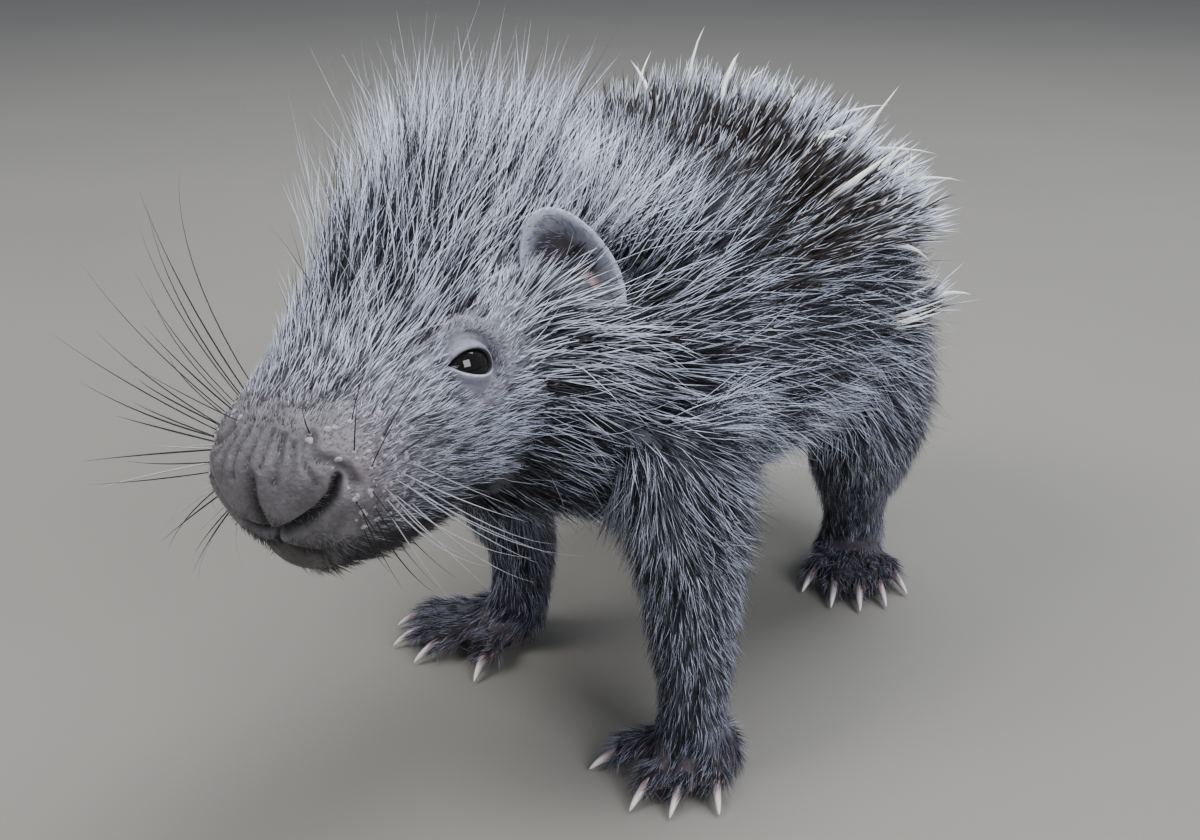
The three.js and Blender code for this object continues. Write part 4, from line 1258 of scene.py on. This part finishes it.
def roots_on(mask, density, random):
    """Root places spread over the masked triangles, as (points, field rows, limb)."""
    chosen = np.nonzero(mask)[0]
    at_points = density * np.ones(len(points))
    weight = areas[chosen] * at_points[triangles[chosen]].mean(axis=1)
    total = np.cumsum(weight)
    count = int(total[-1])
    picks = (np.arange(count) + random.random(count)) / count * total[-1]
    picked = chosen[np.clip(np.searchsorted(total, picks), 0, len(chosen) - 1)]
    u = random.random(count)
    v = random.random(count)
    flip = u + v > 1
    u[flip] = 1 - u[flip]
    v[flip] = 1 - v[flip]
    shares = np.stack([1 - u - v, u, v], -1)
    three = triangles[picked]
    root = np.einsum("ij,ijk->ik", shares, points[three])
    return root, np.einsum("ij,ijk->ik", shares, fields[three]), limb_at[three[:, 0]]


STRAY_SHARE = 0.05
CLUMP_SIZE = 6.0
PALE_CLUMP_SIZE = 4.2


def coat_piece(name, mask, density, segments, seed):
    """Bristles over a part of the body, in clumps, some pale, and a few long strays."""
    random = np.random.default_rng(seed)
    root, at_root, limb = roots_on(mask, density, random)
    normal = unit(at_root[:, 0:3])
    way = at_root[:, 3:6]
    length, lift, bend, radius, pale = at_root[:, 6:11].T
    dark = at_root[:, 11:14]
    light = at_root[:, 14:17]
    count = len(root)
    stray = (random.random(count) < STRAY_SHARE) * rise(3, 12, length)
    clump = waves(root, CLUMP_SIZE, 5)
    length = length * (1 + 0.1 * clump + 0.2 * random.uniform(-1, 0.7, count) + 0.22 * stray)
    is_pale = random.random(count) < pale + 0.1 * waves(root, PALE_CLUMP_SIZE, 8) + 0.2 * stray
    start = np.where(is_pale, random.uniform(-0.1, 0.45, count), random.uniform(0.8, 1.3, count))
    tone = np.where(is_pale, random.uniform(0.85, 1.6, count), random.uniform(0.5, 1.3, count))
    loose = np.where(is_pale, 1.5, 1.0) * random.normal(size=(3, count))
    lift = lift * (1 + 0.14 * waves(root, CLUMP_SIZE, 6) + 0.18 * loose[0]) + 14 * stray + 4 * is_pale
    bend = bend * (1 + 0.5 * loose[1])
    sway = 0.16 * waves(root, CLUMP_SIZE * 1.2, 7) + 0.17 * loose[2] * (1 + stray)
    radius = radius * random.uniform(0.75, 1.2, count) * (1 - 0.35 * stray) * np.where(is_pale, 0.85, 1.1)
    size = (length, np.radians(np.clip(lift, 6, 78)), np.radians(bend), sway, radius)

    def tint_at(shares):
        turned = rise(start[:, None], start[:, None] + 0.3, shares[None, :])[..., None]
        # painted shade: each bristle is darkened towards its root, as the coat shades itself near the skin
        painted_root_shade = mix(0.35, 1.0, np.clip(shares * 2.0, 0, 1))[None, :, None]
        return mix(dark[:, None], light[:, None], turned) * painted_root_shade * tone[:, None, None]

    piece = grow(name, root, normal, way, size, tint_at, limb, segments)
    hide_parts("torso")


def over(values):
    """The mean of a value over each triangle of the skin."""
    return values[triangles].mean(axis=1)


main_kind = np.argmax(shares[triangles].sum(axis=1), axis=1)
is_head, is_neck, is_torso, is_tail, is_leg, is_paw = (main_kind == k for k in range(len(KINDS)))
is_torso = is_torso | is_tail
is_head = is_head & (over(off_eye) > 5.6)
is_face = over(forward_of_head) > 21
is_crown = over(crown) > 0.5
is_front_leg = limb_at[triangles[:, 0]] < 2
is_left = over(points[:, 0]) > 0
top_at = over(topness)
is_side = is_torso & (top_at > -0.5) & (top_at < 0.55)

# Bristles keep off the ear's root, the nostrils, the lips and the deeper folds
from_ear = left_places - EAR_MIDDLE
ear_widths = from_ear @ EAR_REARWARD / EAR_HALF_WIDTH
ear_heights = from_ear @ EAR_LEANS / EAR_HALF_HEIGHT
clear_ear = np.maximum(
    rise(0.75, 0.95, np.hypot(ear_widths, ear_heights)), rise(3, 6, np.abs(from_ear @ EAR_OPENS))
)
clear_face = rise(0.5, 0.2, fold_shade) * (1 - lip_zone) * mix(1, 0.7, nose_pad)

COAT_PIECES = [  # piece, where it grows, bristles to a square millimetre and rings to a bristle
    ("coat_muzzle", is_head & is_face, 5.6 * clear_face, 2),
    ("coat_crown", is_head & ~is_face & is_crown, 2.6, 3),
    ("coat_cheeks", is_head & ~is_face & ~is_crown, (2.5 * bare_eye + 0.6) * clear_ear, 3),
    ("coat_neck", is_neck, 3.0 * clear_ear, 3),
    ("coat_flank_left", is_side & is_left, 1.8, 3),
    ("coat_flank_right", is_side & ~is_left, 1.8, 3),
    ("coat_back", is_torso & (top_at >= 0.55), mix(1.6, 0.75, rise(0.26, 0.4, torso_place)), 3),
    ("coat_belly", is_torso & (top_at <= -0.5), 0.65, 3),
    ("coat_front_legs", is_leg & is_front_leg, 3.5, 2),
    ("coat_hind_legs", is_leg & ~is_front_leg, 2.35, 2),
    ("coat_paws", is_paw & (top_at > -0.4), 6.0, 2),
]
for number, (name, mask, density, segments) in enumerate(COAT_PIECES):
    coat_piece(name, mask, density, segments, 101 + number)


# Short down covers the outer part of the lids and the backs and rims of the ears
def down_piece(name, mesh, chosen, density, length, pale, seed, node):
    random = np.random.default_rng(seed)
    mesh_points, mesh_faces = mesh
    three = mesh_points[mesh_faces[chosen]]
    cross = np.cross(three[:, 1] - three[:, 0], three[:, 2] - three[:, 0])
    total = np.cumsum(np.linalg.norm(cross, axis=1) / 2)
    count = int(total[-1] * density)
    picks = np.searchsorted(total, random.random(count) * total[-1])
    shares = random.dirichlet(np.ones(3), count)
    root = np.einsum("ij,ijk->ik", shares, three[picks])
    normal = unit(cross[picks])
    nearby = np.array([skin_tree.find_nearest(tuple(point))[2] for point in root])
    way = fields[triangles[nearby, 0], 3:6]
    way = unit(way - normal * np.einsum("ij,ij->i", way, normal)[:, None])
    is_pale = random.random(count) < pale
    tint = np.where(is_pale[:, None], SILVER * 0.8, LILAC_GREY * 0.7)
    tint = tint * random.uniform(0.7, 1.3, count)[:, None]
    size = (
        length * random.uniform(0.6, 1.2, count),
        np.radians(random.uniform(10, 34, count)),
        np.full(count, 0.2),
        0.2 * random.normal(size=count),
        random.uniform(0.03, 0.055, count),
    )

    def tint_at(shares):
        return tint[:, None] * mix(0.7, 1.1, shares)[None, :, None]

    piece = grow(name, root, normal, way, size, tint_at, np.full(count, -1), 2, sink=0.1)
    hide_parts(node)


BARE_LID = 4.9
BARE_EAR = 7.5
for side_name, sign in SIDES.items():
    lid_points, lid_faces, _ = eyelid(sign)
    out = eye_axes(sign)[0]
    middles = lid_points[lid_faces].mean(axis=1) - on_head(mirrored(EYE_PLACE, sign))
    far_out = np.linalg.norm(middles - (middles @ out)[:, None] * out, axis=1) > BARE_LID
    down_piece("lid_down_" + side_name, (lid_points, lid_faces), far_out, 5, 1.6, 0.45, 120, "head")
    ear_points, ear_faces, _ = ear_shell(sign)
    middles = ear_points[ear_faces].mean(axis=1) - on_head(mirrored(EAR_MIDDLE, sign))
    far_out = np.linalg.norm(middles, axis=1) > BARE_EAR
    ear_mesh = (ear_points, ear_faces)
    down_piece("ear_down_" + side_name, ear_mesh, far_out, 2.6, 1.5, 0.6, 121, "ear_" + side_name)


# Spines and quills
# Stiff brown-black spines, most with a white tip, stand over the rear of the back. Long white quills
# curl over the rump and stand in bundles at its side and on the tail. All are tapered horn rods.
SPINE_WHITE = np.array([0.74, 0.73, 0.70])
SPINE_TIP = mix(SILVER, WHITE_GREY, 0.5)


def along_torso(root):
    """How far back roots are on the trunk, 0 at its front and 1 at its rear."""
    return (root[:, 1] - TORSO_FRONT) / TORSO_LENGTH


def spine_piece(
    name, mask, density, make_size, dark, light, from_share, seed, segments=6, sides=5, dark_share=0
):
    """Spines that turn from dark to light at a share of their length, with some all dark."""
    random = np.random.default_rng(seed)
    root, at_root, limb = roots_on(mask, density, random)
    count = len(root)
    size = make_size(root, random, count)
    tone = random.uniform(0.8, 1.12, count)
    all_dark = np.where(random.random(count) < dark_share, random.random(count), 0)
    rear = rise(0.45, 0.85, along_torso(root))

    def tint_at(shares):
        start = (from_share + 0.3 * (tone - 1) - 0.2 * rear + 0.3 * (all_dark > rear))[:, None]
        turned = rise(start, start + 0.14, shares[None, :])[..., None]
        return mix(dark, light, turned) * tone[:, None, None]

    normal = unit(at_root[:, 0:3])
    way = at_root[:, 3:6]
    return grow(name, root, normal, way, size, tint_at, limb, segments, sides, 0.5, 1.2)


def back_spine_sizes(root, random, count):
    length = mix(15, 19, rise(0.3, 0.55, along_torso(root))) * random.uniform(0.72, 1.08, count)
    lift = mix(68, 44, rise(0.45, 0.95, along_torso(root))) + 7 * random.normal(size=count)
    bend = random.uniform(-4, 22, count)
    sway = 0.14 * waves(root, 9, 21) + 0.1 * random.normal(size=count)
    return length, np.radians(lift), np.radians(bend), sway, random.uniform(0.2, 0.34, count)


def white_quill_sizes(root, random, count):
    length = random.uniform(19, 28, count)
    lift = 66 + 12 * random.normal(size=count)
    bend = random.uniform(40, 140, count)
    sway = 0.4 * random.normal(size=count)
    return length, np.radians(lift), np.radians(bend), sway, random.uniform(0.5, 0.72, count)


on_torso = over(torso_place * on_kind["torso"])
spine_zone = is_torso & (top_at > 0.45) & (on_torso > 0.28)
spines = spine_piece(
    "back_spines", spine_zone, 0.58, back_spine_sizes, SPINE_BROWN, SPINE_TIP, 0.78, 201, 5, 4, 0.36
)
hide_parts("torso")
quill_zone = is_torso & (top_at > 0.42) & (on_torso > 0.5)
quills = spine_piece(
    "white_quills", quill_zone, 0.028, white_quill_sizes, SPINE_WHITE * 0.8, SPINE_WHITE, 0.2, 202
)

# Bundles of white quills: root, heading, where they curl, number, spread of the roots, fan, lengths
# and bends
QUILL_BUNDLES = {
    "tail": [(TAIL_PLACES[2], (0.72, 0.66, -0.2), (0.6, -0.8, 0), 44, 2.2, 0.32, (17, 24), (-14, 20))],
    "torso": [
        ((36.8, 34, 70.4), (0.55, 0.83, -0.06), (0, 0, 1), 11, 2.2, 0.1, (15, 20), (-4, 18)),
        ((33.4, 28, 87.4), (0.57, 0.67, 0.47), (-0.3, 0.1, 0.9), 12, 2.6, 0.16, (17, 23), (30, 80)),
    ],
}
bundle_random = np.random.default_rng(203)
for node, bundles in QUILL_BUNDLES.items():
    rows = []
    for place, heading, curl, count, spread, fan, lengths, bends in bundles:
        heading = unit(np.array(heading))
        across = unit(np.cross(heading, UP))
        spin = 2 * np.pi * bundle_random.random(count)
        offset = np.cos(spin)[:, None] * across + np.sin(spin)[:, None] * np.cross(across, heading)
        offset = offset * np.sqrt(bundle_random.random(count))[:, None]
        out = unit(heading + offset * fan)
        curl = np.array(curl, float)
        rows.append([
            np.array(place) - heading * bundle_random.uniform(0, 5, count)[:, None] + offset * spread,
            out,
            unit(curl - out * (out @ curl)[:, None]),
            bundle_random.uniform(*lengths, count),
            np.radians(bundle_random.uniform(74, 90, count)),
            np.radians(bundle_random.uniform(*bends, count)),
            0.15 * bundle_random.normal(size=count),
            bundle_random.uniform(0.42, 0.66, count),
        ])
    root, out, way, *size = [np.concatenate(column) for column in zip(*rows)]

    def quill_tint(shares):
        turned = rise(0.0, 0.25, shares)[None, :, None]
        return np.ones((len(root), 1, 1)) * mix(SPINE_BROWN * 6, SPINE_WHITE, turned)

    no_limb = np.full(len(root), -1)
    bundle = grow(f"{node}_quills", root, out, way, size, quill_tint, no_limb, 6, 6, 0.5, 1.5)
    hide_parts(node)


# Whiskers
# Long tapered whiskers, black above and some of them grey below, stand in rows over each side of the
# muzzle. Each grows from a pale bump of skin, with smaller bumps beside it.
WHISKER_ROWS = (6.6, 3.4, 0.2, -3.0, -6.2, -9.2)
WHISKER_COLUMNS = 6
FIRST_COLUMN = 40.4
COLUMN_STEP = 2.25
ROW_STAGGER = 0.5
ROW_BOW = 0.32
BESIDE_HEAD = 34
WHISKER_LIFT = 88.0
WHISKER_BLACK = np.array([0.012, 0.010, 0.011])
WHISKER_GREY = np.array([0.40, 0.40, 0.42])
BUMP_TINT = np.array([0.27, 0.235, 0.255])
BUMP_SIZES = (0.26, 0.62)
BUMP_SPREADS = [[0, 0], [0.9, 0.9], [1.3, 1.3]]
NOSTRIL_CLEARANCE = 2.4
whisker_random = np.random.default_rng(301)


def skin_bump(beside):
    """A low lump of the skin nearest to a point, with a random size and shape."""
    size = whisker_random.uniform(*BUMP_SIZES)
    spot, spot_normal = [np.array(part) for part in skin_tree.find_nearest(tuple(beside))[:2]]
    bump_side = unit(np.cross(spot_normal, UP))
    bump_axes = np.array([bump_side, np.cross(spot_normal, bump_side), spot_normal])
    halves = size * whisker_random.uniform(0.65, 1.15, 3) * [1, 1, 0.5]
    return ball(spot, halves, bump_axes, sides=10, rings=7)


bumps = []
whisker_rows = []
for sign in SIDES.values():
    for row, high in enumerate(WHISKER_ROWS):
        for column in range(WHISKER_COLUMNS):
            ahead = FIRST_COLUMN - COLUMN_STEP * column - ROW_STAGGER * (row % 2) - ROW_BOW * abs(high)
            ahead += whisker_random.uniform(-0.4, 0.4)
            level = high + whisker_random.uniform(-0.5, 0.5)
            start = on_head(mirrored((ahead, BESIDE_HEAD, level), sign))
            hit, hit_normal, _, _ = skin_tree.ray_cast(tuple(start), tuple(-sign * head_side))
            if hit is None:
                continue
            hit = np.array(hit)
            hit_normal = np.array(hit_normal)
            if fold_share(from_head(hit[None]), mirrored(NOSTRIL, sign), NOSTRIL_CLEARANCE)[0] > 0.4:
                continue
            for offset in whisker_random.normal(size=(3, 2)) * BUMP_SPREADS:
                bumps.append(skin_bump(hit + offset[0] * head_forward + offset[1] * head_up))
            backness = column / (WHISKER_COLUMNS - 1)
            upness = mix(1.0, -1.15, row / (len(WHISKER_ROWS) - 1))
            heading = sign * head_side * 0.75 + hit_normal * 0.5 + head_up * upness * 0.75
            heading = heading + head_forward * mix(0.35, -0.5, backness)
            length = mix(24, 50, backness) * whisker_random.uniform(0.65, 1.15)
            is_grey = row >= 3 and column >= 2
            if sign > 0 and row < 3:
                if (row + column) % 2:
                    continue
                fan = mix(-0.35, 1.45, backness) + 0.12 * row
                heading = hit_normal * 0.35 + head_up * math.cos(fan) - head_forward * math.sin(fan)
                length = mix(8, 15, backness) * whisker_random.uniform(0.8, 1.2)
            elif sign > 0:
                heading = hit_normal * 0.4 - head_up * mix(0.75, 1.1, (row - 3) / 2)
                heading = heading - head_forward * (0.05 + 0.8 * backness)
                length = mix(16, 46, backness) * whisker_random.uniform(0.6, 1.15)
            colour = WHISKER_GREY if is_grey else WHISKER_BLACK
            whisker_rows.append((hit, unit(heading), length, colour))
bump_piece = new_piece("whisker_bumps", *joined(bumps))
add_tint(bump_piece.data, np.broadcast_to(BUMP_TINT, (len(bump_piece.data.vertices), 3)))
bump_piece.data.materials.append(ear_finish.material)
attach(bump_piece, "root")
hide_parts("head")

root, out, length, colour = [np.array(column) for column in zip(*whisker_rows)]
count = len(root)
rearward = -head_forward - UP * 0.5
whisker_size = (
    length,
    np.radians(np.full(count, WHISKER_LIFT)),
    np.radians(whisker_random.uniform(12, 42, count)),
    0.1 * whisker_random.normal(size=count),
    whisker_random.uniform(0.07, 0.12, count),
)


def whisker_tint(shares):
    return colour[:, None] * np.ones((1, len(shares), 1))


way = unit(rearward - out * (out @ rearward)[:, None])
no_limb = np.full(count, -1)
whiskers = grow("whiskers", root, out, way, whisker_size, whisker_tint, no_limb, 10, 5, 0.55, 0.8)
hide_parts("head")
